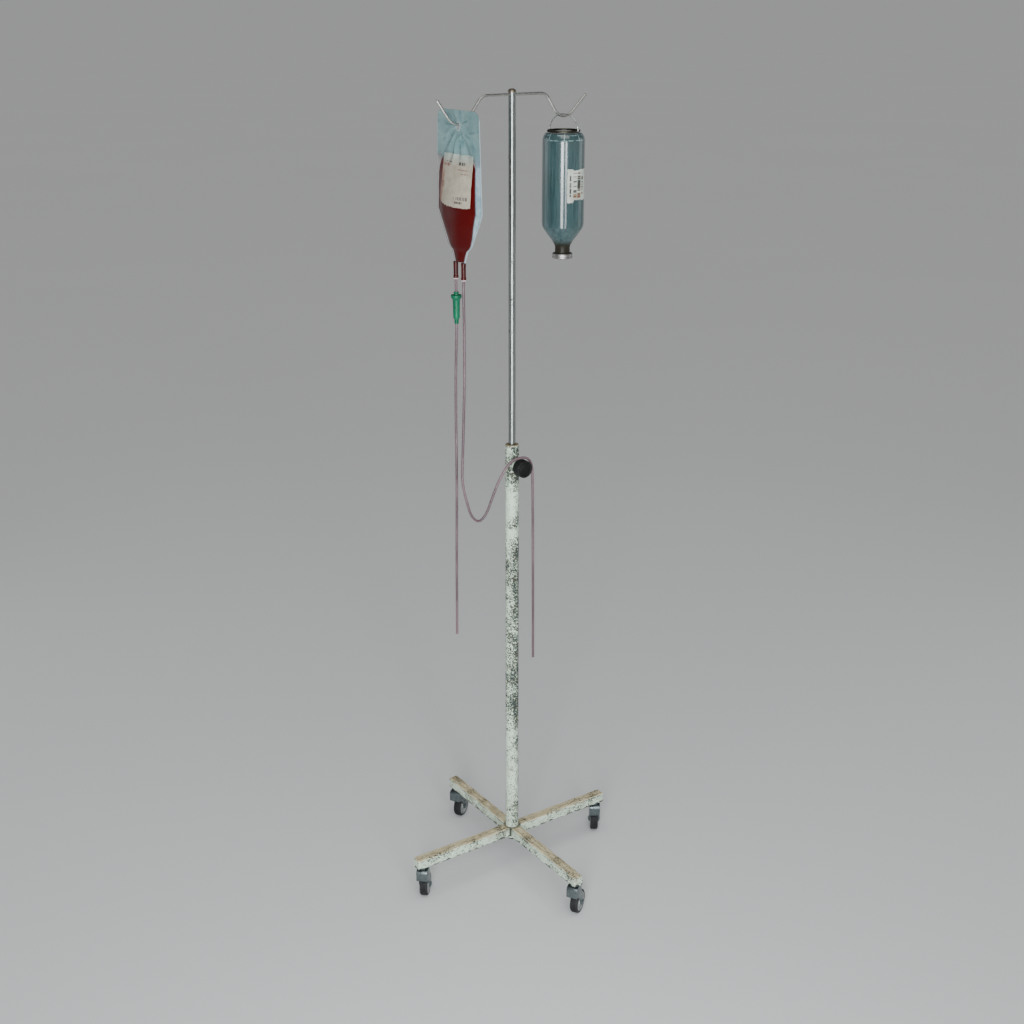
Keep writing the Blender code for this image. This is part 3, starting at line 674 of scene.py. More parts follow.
def build_lines():
    vinyl = line_finish()
    rear, front = middle_of("port_cap_rear"), middle_of("port_cap_front")
    coupling = build_connector()
    free = smooth_path(free_route(rear.y), LINE_STEP)
    ends = [(BAG_X, rear.y, z) for z in FREE_BEND]
    nodes = ("line_short", "line_free")
    add_line("line_free_end", free, nodes, vinyl)

    draped = smooth_path(draped_route(front.y), LINE_STEP)
    upper, lower = (next(i for i, p in enumerate(draped) if p.z < height) for height in DRAPED_MEETS)
    top, middle, loop = draped[: upper + 1], draped[upper : lower + 1], draped[lower:]
    loop_ends = ((loop[0].x, 0, 0), (DRAPED_LAID_X, 0, 0))
    for name, path, bodies, ends, far_end in (
        ("line_draped_top", top, ("bag", "mast"), (top[0], top[-1]), "object"),
        ("line_draped_middle", middle, ("mast", "mast_slider"), (middle[0], middle[-1]), "object"),
        ("line_draped_loop", loop, ("mast_slider", "base"), loop_ends, "bare"),
    ):
        add_line(name, path, ("line_draped",), vinyl)


def build_connector():
    """The green coupling in the rear line: a collar, a dished flange, a tapered grip and a nozzle."""
    flange, bottom, top = upright("line_connector")
    profile = [(0, top), (0.0059, top), (0.0061, top - 0.0018), (0.0050, top - 0.0032)]
    profile += [(0.0050, top - 0.0064), (0.0078, top - 0.0076), (flange - 0.0009, top - 0.0062)]
    profile += [(flange, top - 0.0072), (flange - 0.0004, top - 0.0122), (0.0080, top - 0.0172)]
    profile += [(0.0078, top - 0.0200), (0.0072, bottom + 0.0140), (0.0066, bottom + 0.0120)]
    profile += [(0.0050, bottom + 0.0095), (0.0045, bottom), (0, bottom)]
    middle = middle_of("line_connector")
    mesh = lathe("line_coupling", profile, 0.0009, 48, count=3, place=laid((middle.x, middle.y, 0)))
    light, dark = (0.002, 0.170, 0.082), (0.001, 0.110, 0.052)
    green = plastic_finish("coupling_green", light, dark, 0.36, constants={"Specular IOR Level": 0.35})
    return add_piece("line_coupling", mesh, green, "bag", ("line_connector",))


# ---------------------------------------------------------------- bag


def between(x, stops):
    """The value at x on straight lines through (x, value) stops, whose x falls."""
    for (high, one), (low, other) in zip(stops, stops[1:]):
        if x >= low:
            return one + (other - one) * min(max((high - x) / (high - low), 0.0), 1.0)
    return stops[-1][1]


def bag_half_width(z, top):
    """Half the bag's width: round top corners, sides that widen to a shoulder, and a funnel."""
    half = between(z, BAG_SIDES)
    rise = z - (top - BAG_CORNER)
    if rise > 0:
        half += math.sqrt(max(BAG_CORNER**2 - rise**2, 0.0)) - BAG_CORNER
    return half


def bag_half_thickness(z, half_width):
    """Half the bag's thickness: flat film on top, full at the shoulder, thinning down the funnel."""
    full_top, fullest = 1.800, 1.655
    if z > full_top:
        return FILM
    share = min((full_top - z) / (full_top - fullest), 1.0)
    full = FILM + (BAG_BELLY - FILM) * math.sin(share * math.pi / 2) ** 1.35
    return min(full, 0.335 * half_width)


def bag_skin(y, z, top):
    """(middle, half thickness) of the bag at a place: a welded seam, a pillow and creases from the hole."""
    half_width = bag_half_width(z, top)
    inside = max(half_width - SEAM, 0.001)
    across = min(abs(y) / inside, 1.0)
    pillow = (bag_half_thickness(z, half_width) - FILM) * (1 - across**2)
    away = math.hypot(y, z - HOLE_Z)
    turn = math.atan2(y, HOLE_Z - z)
    crease = 0.0
    for angle, width, reach, height in CREASES:
        near = math.exp(-(((turn - math.radians(angle)) / math.radians(width)) ** 2))
        crease += height * near * smoothstep(away, 0.008, 0.030) * (1 - smoothstep(away, 0.5 * reach, reach))
    ripple = rough(y * 30, z * 22, 3.1) + 0.5 * rough(y * 70, z * 55, 7.7)
    loose = smoothstep(z, 1.66, 1.80) * smoothstep(away, 0.010, 0.035)
    edge = 1 - smoothstep(across, 0.80, 1.0)
    middle = (crease + 0.0007 * ripple * loose) * (0.35 + 0.65 * edge)
    dent = 0.0010 * rough(y * 24, z * 24, 0.4) * (1 - across**2) * min(1.0, pillow / 0.006)
    return middle, FILM + max(pillow + dent, 0.0)


CREASES = [  # angle from straight down, width, reach, height
    (-36, 6, 0.105, 0.0048),
    (-22, 5, 0.080, -0.0032),
    (-54, 7, 0.090, -0.0036),
    (-9, 5, 0.085, 0.0028),
    (6, 5, 0.090, -0.0036),
    (20, 6, 0.095, 0.0036),
    (38, 5, 0.075, -0.0030),
    (55, 8, 0.070, 0.0030),
    (75, 9, 0.060, -0.0020),
    (-78, 9, 0.065, 0.0024),
]


def pouch(name, rows):
    """A closed mesh through rows of (middle, half thickness, y, z) across the bag."""
    rings = []
    for row in rows:
        front = [(BAG_X + middle - half, y, z) for middle, half, y, z in row]
        rings.append([*front, *[(BAG_X + middle + half, y, z) for middle, half, y, z in reversed(row)]])
    return loft(name, rings)


def spread(steps):
    """Shares from -1 to 1, closer together towards the ends."""
    return [math.sin(math.pi * (i / steps - 0.5)) for i in range(steps + 1)]


def bag_film_mesh(top, bottom):
    """The welded film: a front and a back sheet, as one closed skin with the hole for the hook."""
    straight = top - BAG_CORNER
    levels = [top - BAG_CORNER * (1 - math.cos(i * math.pi / 20)) for i in range(10)]
    levels += [straight - (straight - bottom) * i / 130 for i in range(131)]
    rows = []
    for z in levels:
        ys = [bag_half_width(z, top) * share for share in spread(56)]
        rows.append([(*bag_skin(y, z, top), y, z) for y in ys])
    return drilled(pouch("bag_film", rows), HOLE_R, 0.02, laid((BAG_X, 0, HOLE_Z), 90, "Y"), steps=64)


def bag_blood_mesh(top, bottom):
    """The blood: it fills the pillow nearly to its seams, and has an uneven upper edge."""
    low, high = bottom + 0.001, 1.768
    rows = []
    for i in range(81):
        share = i / 80
        z = high - (high - low) * share
        left = bag_half_width(z, top) - 0.0055 - 0.016 * math.exp(-share * 14)
        right = left - 0.0085 * smoothstep(z, 1.58, 1.66)
        close = min(1.0, math.sqrt(share * 9))
        row = []
        for t in spread(44):
            y = (left + right) / 2 * t + (left - right) / 2
            y += 0.0008 * rough(z * 45, t * 3, 1.0) * abs(t)
            middle, half = bag_skin(y, z, top)
            inside = max(half - 0.0009, 0.0002) * (1 - t**4) ** 0.5 * close
            level = 0.006 * rough(y * 25, 0.0, 4.2) * (1 - smoothstep(share, 0.0, 0.15))
            level -= 0.008 * t * t * (1 - smoothstep(share, 0, 0.2))
            row.append((middle, inside, y, z + level))
        rows.append(row)
    return pouch("bag_blood", rows)


def bag_label_mesh(top):
    """A paper label on the front sheet, torn along its lower edge."""
    y_low, y_high = -0.061, 0.049
    z_low, z_high = 1.664, 1.772

    def place_of(across, up):
        y = y_low + (y_high - y_low) * across
        tear = 0.0045 * abs(rough(y * 95, 0, 9)) + 0.007 * smoothstep(y, 0.01, 0.049)
        tear += 0.003 * (rough(y * 240, 0, 2) + 1) / 2
        z = (z_low + tear) + (z_high + 0.0012 * rough(y * 60, 0, 5) - z_low - tear) * up
        y += 0.0010 * rough(z * 80, across * 0.7, 1.5) * abs(2 * across - 1)
        middle, half = bag_skin(y, z, top)
        return (BAG_X + middle - half - 0.00015, y, z)

    return paper("bag_label", 70, 66, 0.0003, place_of)


def film_finish():
    """Clear vinyl: milky teal where it lies empty, clear over the blood, and bluish along the seams."""
    finish = Finish("bag_film", {"IOR": 1.45, "Specular IOR Level": 0.35})
    y, z = finish.y, finish.z
    cloud = finish.noise(22, detail=4, roughness=0.6)
    teal = finish.mix(finish.step(cloud, 0.3, 0.7), (0.165, 0.285, 0.290), (0.235, 0.370, 0.380))
    down = HOLE_Z - z
    away = finish.calc("SQRT", y**2 + down**2)
    around = finish.add("CombineXYZ", 0, {0: finish.calc("ARCTAN2", y, down), 1: away * 6})
    # darker teal along the folds round the hole: painted shade in the creases
    fold_shade = finish.step(finish.noise(3.2, place=around), 0.53, 0.66)
    fold_shade = fold_shade * (finish.step(away, 0.006, 0.02) * finish.step(away, 0.11, 0.05))
    teal = finish.mix(fold_shade, teal, (0.105, 0.205, 0.215))
    lowest = BAG_SIDES[-1][0]
    span = BAG_SIDES[0][0] - lowest
    stops = [((level - lowest) / span, half * 10) for level, half in reversed(BAG_SIDES)]
    wide = finish.curve((z - lowest) / span, stops) * 0.1
    front_rim = finish.step(y + wide - finish.step(z, 1.58, 1.66, 0.004, 0.015), 0.003, -0.003)
    height = z + finish.patches(30, 0.3, 0.7, -0.004, 0.004, detail=3)
    bluish = finish.mix(finish.step(cloud, 0.4, 0.6), (0.24, 0.36, 0.43), (0.40, 0.53, 0.60))
    thread = finish.step(wide - abs(y), 0.0012, -0.0006)
    tone = finish.mix(finish.step(height, 1.772, 1.748), teal, (0.110, 0.004, 0.004))
    tone = finish.mix(front_rim * finish.step(z, 1.79, 1.74), tone, bluish)
    tone = finish.mix(thread * 0.7, tone, (0.62, 0.72, 0.76))
    clear = finish.step(height, 1.784, 1.742) * (1.0 - front_rim) - thread * 0.8
    finish.into("Alpha", finish.step(clear, 0.0, 1.0, 0.92, 0.03))
    fine = finish.noise(55, detail=4, roughness=0.6)
    return finish.finished(tone, finish.step(fine, 0.3, 0.7, 0.18, 0.32), fine, 0.0004, 0.5)


def blood_finish():
    """Dark settled blood, thinning to a pale red at its upper edge."""
    finish = Finish("blood", {"Specular IOR Level": 0.22})
    deep = finish.step(finish.z, 1.56, 1.74)
    tone = finish.mix(deep, (0.072, 0.0002, 0.0003), (0.098, 0.0004, 0.0005))
    settled = finish.patches(16, 0.4, 0.7, 0.0, 0.6, detail=3)
    tone = finish.mix(settled, tone, (0.055, 0.0001, 0.0002))
    tone = finish.mix(finish.step(finish.z, 1.745, 1.770), tone, (0.22, 0.022, 0.020))
    return finish.finished(tone, finish.patches(40, 0.3, 0.7, 0.28, 0.40))


def paper_marks(finish, along, up, rows):
    """Rows of short plain bars, as (along low, along high, height, half height, bar scale) rows."""
    marks = None
    for low, high, height, half, scale in rows:
        inside = (along > low) * (along < high) * (abs(up - height) < half)
        bars = finish.noise(scale, detail=0, place=finish.add("CombineXYZ", 0, {0: along, 1: height}))
        row = inside * finish.step(bars, 0.42, 0.5)
        marks = row if marks is None else finish.calc("MAXIMUM", marks, row)
    return marks


def bag_label_finish():
    """Yellowed paper with rows of plain marks, soaked red along its front edge."""
    finish = Finish("bag_label", {"Specular IOR Level": 0.25})
    fibre = finish.noise(60, detail=5, roughness=0.65)
    paper = finish.mix(finish.step(fibre, 0.3, 0.7), (0.40, 0.35, 0.27), (0.52, 0.47, 0.38))
    faded = finish.step(finish.z, 1.745, 1.772)
    paper = finish.mix(faded, paper, (0.40, 0.46, 0.41))
    soak = finish.step(finish.y + finish.step(fibre, 0.2, 0.8, -0.012, 0.012), 0.03, 0.044)
    soak = soak * finish.step(finish.z, 1.755, 1.725)
    paper = finish.mix(soak * 0.6, paper, (0.3, 0.08, 0.055))
    dark_rows = [(-0.052, -0.010, 1.6850, 0.0034, 480), (-0.040, -0.016, 1.6765, 0.0022, 380)]
    dark_rows += [(-0.040, -0.016, 1.7540, 0.0032, 300), (0.010, 0.040, 1.7560, 0.0010, 260)]
    marks = paper_marks(finish, finish.y, finish.z, dark_rows)
    paper = finish.mix(marks * 0.9, paper, (0.055, 0.045, 0.055))
    red_rows = [(-0.050, -0.012, 1.7420, 0.0012, 330), (-0.050, -0.020, 1.7340, 0.0010, 300)]
    red_rows += [(0.020, 0.046, 1.7500, 0.0030, 300), (0.030, 0.044, 1.7100, 0.0070, 500)]
    reds = paper_marks(finish, finish.y, finish.z, red_rows)
    paper = finish.mix(reds * 0.75, paper, (0.2, 0.04, 0.035))
    return finish.finished(paper, finish.step(fibre, 0.3, 0.7, 0.5, 0.7), fibre, 0.0002)


def build_bag():
    _, bottom, top = upright("blood_bag")
    film = add_piece("bag_film", bag_film_mesh(top, bottom), film_finish(), "bag", ("blood_bag",))
    blood = add_piece("bag_blood", bag_blood_mesh(top, bottom), blood_finish(), "bag")
    add_piece("bag_label", bag_label_mesh(top), bag_label_finish(), "bag")
    turns = [i * math.pi / 6 for i in range(12)]
    ring = [(HOLE_R + 0.0016 + 0.0016 * math.cos(a), 0.0009 * math.sin(a)) for a in turns]
    eyelet = moved(turned("bag_eyelet", ring, 48, loop=True), laid((BAG_X, 0, HOLE_Z), 90, "Y"))
    weld = plastic_finish("bag_weld", (0.50, 0.60, 0.62), (0.32, 0.42, 0.44), 0.25)
    add_piece("bag_eyelet", eyelet, weld, "bag")
    build_ports()


def build_ports():
    """Short vinyl necks full of blood, each with a pink cap that its line comes out of."""
    finish = Finish("port_vinyl", {"Specular IOR Level": 0.35})
    tone = finish.mix(finish.patches(60, 0.35, 0.65, detail=3), (0.036, 0.0006, 0.0008), (0.066, 0.002, 0.002))
    vinyl = finish.finished(tone, finish.patches(120, 0.3, 0.7, 0.2, 0.32))
    pink = plastic_finish("cap_pink", (0.78, 0.62, 0.63), (0.66, 0.50, 0.51), 0.35)
    for side in ("rear", "front"):
        middle = middle_of(f"bag_port_{side}")
        place = laid((middle.x, middle.y, 0))
        r, low, high = upright(f"bag_port_{side}")
        profile = [(0, high), (r - 0.0006, high), (r - 0.0006, high - 0.006), (r - 0.0009, high - 0.010)]
        profile += [(r - 0.0009, low + 0.006), (r - 0.0002, low + 0.004), (r - 0.0002, low), (0, low)]
        neck = lathe(f"port_{side}", profile, 0.0008, 48, place=place)
        add_piece(f"port_neck_{side}", neck, vinyl, "bag", (f"bag_port_{side}",))
        r, low, high = upright(f"port_cap_{side}")
        profile = [(0, high), (r, high), (r, low + 0.001), (r * 0.6, low), (0, low)]
        cap = lathe(f"cap_{side}", profile, 0.0006, 48, place=place)
        add_piece(f"port_lid_{side}", cap, pink, "bag", (f"port_cap_{side}",))


# ---------------------------------------------------------------- bottle


def glass_finish():
    """Old blue-green glass: tinted, solid at its edges and neck, with long draw marks, and with painted
    highlights on the shoulder: pale lines round its two edges and eight radial lines.
    """
    constants = {"IOR": 1.5, "Coat Roughness": 0.15, "Coat IOR": 1.9, "Specular IOR Level": 0.2}
    finish = Finish("bottle_glass", constants)
    z = finish.z
    drawn = finish.noise(20, detail=4, place=finish.scaled(9, 9, 0.7))
    cloud = finish.noise(18, detail=3)
    tone = finish.mix(finish.step(drawn, 0.3, 0.7), (0.029, 0.067, 0.073), (0.054, 0.108, 0.114))
    tone = finish.mix(finish.step(cloud, 0.45, 0.75, 0.0, 0.5), tone, (0.040, 0.075, 0.068))
    # pale lines round the shoulder's two edges, broken up by a noise mask: painted highlights
    wear_and_highlight_gaps = finish.patches(120, 0.48, 0.60, detail=3, roughness=0.6)
    for height in (1.7880, 1.7985):
        rim = finish.step(abs(z - height), 0.0004, 0.0014, 0.8, 0.0) * wear_and_highlight_gaps
        tone = finish.mix(rim, tone, (0.34, 0.46, 0.47))
    # eight pale radial lines on the shoulder, one of them facing the camera: painted highlights
    turn = finish.calc("ARCTAN2", finish.y, finish.x - BOTTLE_X)
    eighth = finish.calc("FRACT", turn * (4 / math.pi) + 4.261)
    facet_highlight = finish.step(abs(eighth - 0.5), 0.03, 0.012) * finish.step(z, 1.784, 1.79)
    tone = finish.mix(facet_highlight * 0.8, tone, (0.38, 0.5, 0.51))
    neck = finish.step(z, 1.578, 1.558)
    facing = finish.add("LayerWeight", "Facing", {"Blend": 0.35})
    finish.into("Alpha", finish.calc("MAXIMUM", finish.step(facing, 0.0, 0.6, 0.9, 1.0), neck))
    clean = finish.step(z, 1.640, 1.765, 0.52, 1.0)
    finish.into("Coat Weight", clean * finish.step(neck, 0.0, 1.0, 1.0, 0.1))
    dull = finish.calc("MAXIMUM", finish.step(cloud, 0.3, 0.7, 0.10, 0.22), neck * 0.5)
    return finish.finished(finish.mix(neck, tone, (0.020, 0.017, 0.010)), dull, drawn, 0.0003, 0.4)


def build_bottle():
    place = laid((BOTTLE_X, 0, 0))
    radius, lip, top = upright("bottle")
    bore = radius - GLASS
    outside = [(0, top - 0.0020), (0.0300, top - 0.0012), (0.0385, top - 0.0006), (0.0420, top - 0.0040)]
    outside += [(0.0450, top - 0.0100), (radius, top - 0.0165), (radius, 1.6130), (0.0455, 1.6020)]
    outside += [(0.0425, 1.5950), (0.0384, 1.5890), (0.0340, 1.5826), (0.0284, 1.5758), (0.0222, 1.5675)]
    outside += [(0.0175, 1.5595), (0.0165, 1.5550), (0.0165, 1.5440), (0.0204, 1.5395), (0.0208, 1.5380)]
    inside = [(0.0208, lip), (0.0115, lip), (0.0115, 1.5590), (0.0190, 1.5690), (0.0305, 1.5845)]
    inside += [(0.0400, 1.5975), (bore, 1.6140), (bore, top - 0.020), (0.0360, top - 0.0080), (0, top - 0.0070)]
    glass = lathe("bottle_glass", [*outside, *inside], 0.0030, count=3, place=place)
    add_piece("bottle_glass", glass, glass_finish(), "bottle", ("bottle",), angle=60)

    surface = 1.776
    profile = [(0, surface), (bore - 0.002, surface), (bore - 0.0005, surface + 0.0008)]
    profile += [(bore - 0.0005, 1.6140), (0.0395, 1.5980), (0.0300, 1.5848), (0.0185, 1.5692)]
    profile += [(0.0112, 1.5592), (0.0112, 1.5465), (0, 1.5465)]
    fluid = lathe("bottle_fluid", profile, 0.0008, count=2, place=place)
    finish = Finish("bottle_fluid", {"Alpha": 0.75, "Specular IOR Level": 0.3})
    tone = finish.mix(finish.step(finish.z, 1.56, 1.62), (0.030, 0.036, 0.026), (0.070, 0.125, 0.132))
    cloud = finish.patches(14, 0.35, 0.7, detail=3)
    tone = finish.mix(cloud, tone, (0.045, 0.085, 0.092))
    water = finish.finished(tone, finish.step(cloud, 0, 1, 0.12, 0.22))
    add_piece("bottle_fluid", fluid, water, "bottle", angle=60)
    build_bottle_label(radius, place)
    build_closure(place)
    build_hanger(place)


def build_bottle_label(radius, place):
    """A torn paper label wrapped round the side of the bottle away from the bag."""
    start, end = 9.0, 165.0
    z_low, z_high = 1.658, 1.727
    skin = radius + 0.00025

    def place_of(across, up):
        angle = math.radians(start + (end - start) * across)
        tear = 0.0022 * (rough(angle * 6, 0, 1) + rough(angle * 17, 0, 3))
        lift = 0.0035 * smoothstep(across, 0.12, 0.10) - 0.0020 * smoothstep(across, 0.30, 0.10)
        low = z_low + tear + 0.004 * smoothstep(across, 0.10, 0.14) - lift * 0.6
        z = low + (z_high + lift + 0.0016 * rough(angle * 9, 4, 4) - low) * up
        angle += 0.018 * rough(z * 130, 0, 8) * abs(2 * across - 1)
        return from_camera(math.degrees(angle), skin, z)

    mesh = moved(paper("bottle_label", 90, 44, 0.00028, place_of), place)

    finish = Finish("bottle_label", {"Specular IOR Level": 0.3})
    fibre = finish.noise(80, detail=5, roughness=0.65)
    tone = finish.mix(finish.step(fibre, 0.3, 0.7), (0.50, 0.54, 0.48), (0.66, 0.69, 0.62))
    grime = finish.patches(30, 0.50, 0.72, 0.0, 0.6, detail=4)
    tone = finish.mix(grime, tone, (0.30, 0.27, 0.18))
    arc = finish.calc("ARCTAN2", finish.x - BOTTLE_X, finish.y * -1) * radius
    rows = [(1.670, 1.716, -0.0135, 0.0020, 300), (1.664, 1.722, -0.0023, 0.0044, 270)]
    rows += [(1.664, 1.722, 0.0089, 0.0050, 220), (1.668, 1.716, 0.0201, 0.0034, 240)]
    marks = paper_marks(finish, finish.z, arc, rows)
    ink = finish.mix(finish.patches(45, 0.45, 0.60), (0.035, 0.035, 0.032), (0.19, 0.08, 0.035))
    tone = finish.mix(marks * 0.95, tone, ink)
    material = finish.finished(tone, finish.step(fibre, 0.3, 0.7, 0.45, 0.65), fibre, 0.0002)
    add_piece("bottle_label", mesh, material, "bottle")


def build_closure(place):
    """The rubber stopper in the mouth, and the aluminium band crimped over it."""
    r, low, high = upright("bottle_crimp")
    band = [(0.0062, low), (r - 0.0012, low), (r, low + 0.0016), (r, low + 0.0040), (r - 0.0006, low + 0.0046)]
    band += [(r - 0.0006, low + 0.0096), (r, low + 0.0104), (r, high - 0.0016), (r - 0.0018, high)]
    band += [(0.0212, high), (0.0212, high - 0.0007), (0.0222, high - 0.0012), (0.0222, low + 0.0010)]
    band += [(0.0062, low + 0.0008)]
    mesh = lathe("crimp_band", band, 0.0007, closed=True, place=place)
    bright = metal_finish("crimp_metal", (0.46, 0.45, 0.44), (0.33, 0.32, 0.31), 0.40, grain=(20, 20, 200))
    add_piece("crimp_band", mesh, bright, "bottle", ("bottle_crimp",))
    dress("bottle_stopper", plastic_finish("stopper_rubber", (0.16, 0.14, 0.125), (0.10, 0.085, 0.075), 0.6))


def build_hanger(place):
    """The worn ring on the bottle's base, and the wire bail that it hangs by."""
    outer, low, high = upright("hanger_ring")
    inner = outer - 0.0050
    profile = [(outer - 0.0012, high), (outer, high - 0.0012), (outer, low + 0.001), (outer - 0.001, low)]
    profile += [(inner, low), (inner, high)]
    ring = lathe("ring", profile, 0.0008, closed=True, place=place)
    light, dark = (0.10, 0.092, 0.072), (0.050, 0.046, 0.036)
    brown = metal_finish("ring_bronze", light, dark, 0.42, spots=0.62, bump=0.0002)
    add_piece("base_ring", ring, brown, "bottle", ("hanger_ring",))

    feet = JOINTS["bottle_tilt"]["pos_m"][2]
    wire_r, width = 0.0011, 0.0383
    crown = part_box("hanger_bail")[1].z - wire_r - feet
    turns = [math.pi * i / 40 for i in range(2, 39)]
    arch = [(0, width * math.cos(a), feet + crown * math.sin(a)) for a in turns]
    foot = [(0, 0.0335, feet), (0, 0.0365, feet), (0, 0.0376, feet + 0.0004), (0, 0.0381, feet + 0.0012)]
    path = [*foot, *arch, *[(x, -y, z) for x, y, z in reversed(foot)]]
    bail = moved(sweep("bail", path, wire_r, sides=12), place @ Matrix.Rotation(BAIL_TURN, 4, "Z"))
    bright = metal_finish("bail_steel", (0.78, 0.79, 0.76), (0.60, 0.61, 0.59), 0.25)
    add_piece("wire_bail", bail, bright, "bail", ("hanger_bail",))


# ---------------------------------------------------------------- base, column and rod


def dress(node, material):
    """A CAD node that shows as it is, with a better material."""
    obj = frame["nodes"][node]
    obj.data.materials.clear()
    obj.data.materials.append(material)


def leg_skin(reach, low, high, gap):
    """Rings along a leg's outside, and back along its inside: a square tube along +X, mitred at the cross."""
    half, middle = (high - low) / 2, (high + low) / 2
    corner, spacing, steps = 0.003, 0.0016, 132
    corners = [(-half, -half), (half, -half), (half, half), (-half, half)]
    points = [Vector(point) for point in rounded(corners, corner, count=5, closed=True)]
    section = []
    for a, b in zip(points, [*points[1:], points[0]]):
        cuts = max(1, round((b - a).length / spacing))
        section += [a.lerp(b, i / cuts) for i in range(cuts)]

    def ring(scale, share):
        places = []
        for y, z in (point * scale for point in section):
            start = max(abs(y) + gap, math.sqrt(max(CROSS_R**2 - y**2, 0.0)))
            places.append(Vector((start + (reach - start) * share, y, middle + z)))
        return places

    shares = [k / steps for k in range(steps + 1)]
    thin = (half - LEG_WALL) / half
    return [ring(1, share) for share in shares], [ring(thin, share) for share in reversed(shares)]


def eaten(place, low, high, seed):
    """The place on a leg's outer face, moved in where its lower edges have rusted or its paint has gone."""
    half, middle = (high - low) / 2, (high + low) / 2
    x, y, z = place
    bite = rough(x * 85, y * 40, seed) + 0.6 * rough(x * 220, y * 90, seed + 5)
    near_low = smoothstep(z, low + 0.0045, low) * smoothstep(abs(y), half - 0.0045, half - 0.001)
    chip = 0.00022 * smoothstep(rough(x * 60, y * 60, z * 60 + seed), 0.18, 0.26)
    inward = Vector((0, -y / half, (middle - z) / half))
    return place + inward * (0.0011 * max(0.0, bite + 0.25) * near_low + chip)


def build_base():
    low, high = (corner.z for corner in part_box("leg_right"))
    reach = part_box("leg_right")[1].x
    gap = 0.0003
    finish = worn_paint("leg_paint", leg_density, top=high, low_edge=low)
    for seed, (side, heading) in enumerate(SIDES.items()):
        outside, inside = leg_skin(reach, low, high, gap / 2 * math.sqrt(2))
        wear_and_highlight_gaps = [[eaten(place, low, high, 10.0 * seed) for place in ring] for ring in outside[2:-1]]
        rings = [*outside[:2], *wear_and_highlight_gaps, outside[-1], *inside]
        turn = laid((0, 0, 0), heading, "Z")
        mesh = moved(loft(f"leg_tube_{side}", rings, loop=True), turn)
        add_piece(f"leg_tube_{side}", mesh, finish, "base", (f"leg_{side}",))
        cap = moved(leg_end_mesh(reach + gap, low, high), turn)
        add_piece(f"leg_end_{side}", cap, finish, "base", (f"leg_cap_{side}",))
    grime = metal_finish("grimy_steel", (0.070, 0.074, 0.076), (0.030, 0.032, 0.033), 0.5, bump=0.0002)
    for node in ("base_bolt", "column_foot", "clamp_stud"):
        dress(node, grime)
    dress("base_plate", worn_paint("plate_paint", plain_density))


def leg_end_mesh(start, low, high):
    """The rounded end of a leg along +X."""
    half = (high - low) / 2
    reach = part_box("leg_cap_right")[1].x
    corner, edge = 0.0062, 0.0036
    outline = [(start, -half), (reach, -half), (reach, half), (start, half)]
    outline = [outline[0], *rounded(outline, corner, count=8)[1:-1], outline[-1]]
    middle = (start + reach) / 2
    turns = [math.radians(15 * i) for i in range(7)]
    bends = [(edge * (1 - math.sin(a)), edge * (1 - math.cos(a))) for a in turns]
    levels = [(inset, low + rise) for inset, rise in bends]
    levels += [(inset, high - rise) for inset, rise in reversed(bends)]
    rings = []
    for inset, z in levels:
        share = 1 - inset / half
        xs = [middle + (x - middle) * share if x > start else start for x, y in outline]
        rings.append([(x, y * share, z) for x, (_, y) in zip(xs, outline)])
    return loft("leg_end", rings)


def build_column():
    """The painted tube, chipped all over, with the hole that the clamp's screw goes through."""
    radius, low, high = upright("column_tube")
    wall, steps, rows = 0.0015, 72, 300
    turns = [2 * math.pi * i / steps for i in range(steps)]
    rings = []
    for k in range(rows + 1):
        z = low + (high - low) * k / rows
        ring = []
        for a in turns:
            spot = Vector((radius * math.cos(a), radius * math.sin(a), z))
            flake = noise.noise(spot * 70) + 0.5 * noise.noise(spot * 190)
            left = 1 - 0.00018 * smoothstep(flake, 0.22, 0.34) / radius
            ring.append((spot.x * left, spot.y * left, z))
        rings.append(ring)
    bore = radius - wall
    rings += [[(bore * math.cos(a), bore * math.sin(a), z) for a in turns] for z in (high, low)]
    hole = laid((0, -0.013, middle_of("clamp_pad").z), 90)
    mesh = drilled(loft("column", rings, loop=True), 0.0040, 0.011, hole)
    finish = worn_paint("column_paint", column_density)
    add_piece("column_sleeve", mesh, finish, "base", ("column_tube",))
    build_collar()


def build_collar():
    """The collar pressed into the column's top, its rim rubbed brown."""
    r, low, high = upright("tube_collar")
    bore, seat, plug = 0.0081, high - 0.0037, r - 0.0018
    profile = [(bore, high - 0.0012), (bore + 0.0012, high), (r - 0.0016, high), (r, high - 0.0016)]
    profile += [(r, seat), (plug, seat), (plug, low), (bore, low)]
    mesh = lathe("collar", profile, 0.0009, 72, closed=True)
    finish = Finish("collar_paint")
    wear = finish.noise(150, detail=4, roughness=0.6)
    height = finish.z + finish.step(wear, 0.2, 0.8, -0.0022, 0.0022)
    rim = finish.step(height, high - 0.0026, high - 0.001)
    tone = finish.mix(finish.step(wear, 0.45, 0.62), (0.58, 0.59, 0.47), (0.30, 0.27, 0.17))
    tone = finish.mix(rim, tone, (0.20, 0.165, 0.095))
    material = finish.finished(tone, finish.step(rim, 0, 1, 0.36, 0.55), wear, 0.0003)
    add_piece("top_collar", mesh, material, "base", ("tube_collar",))


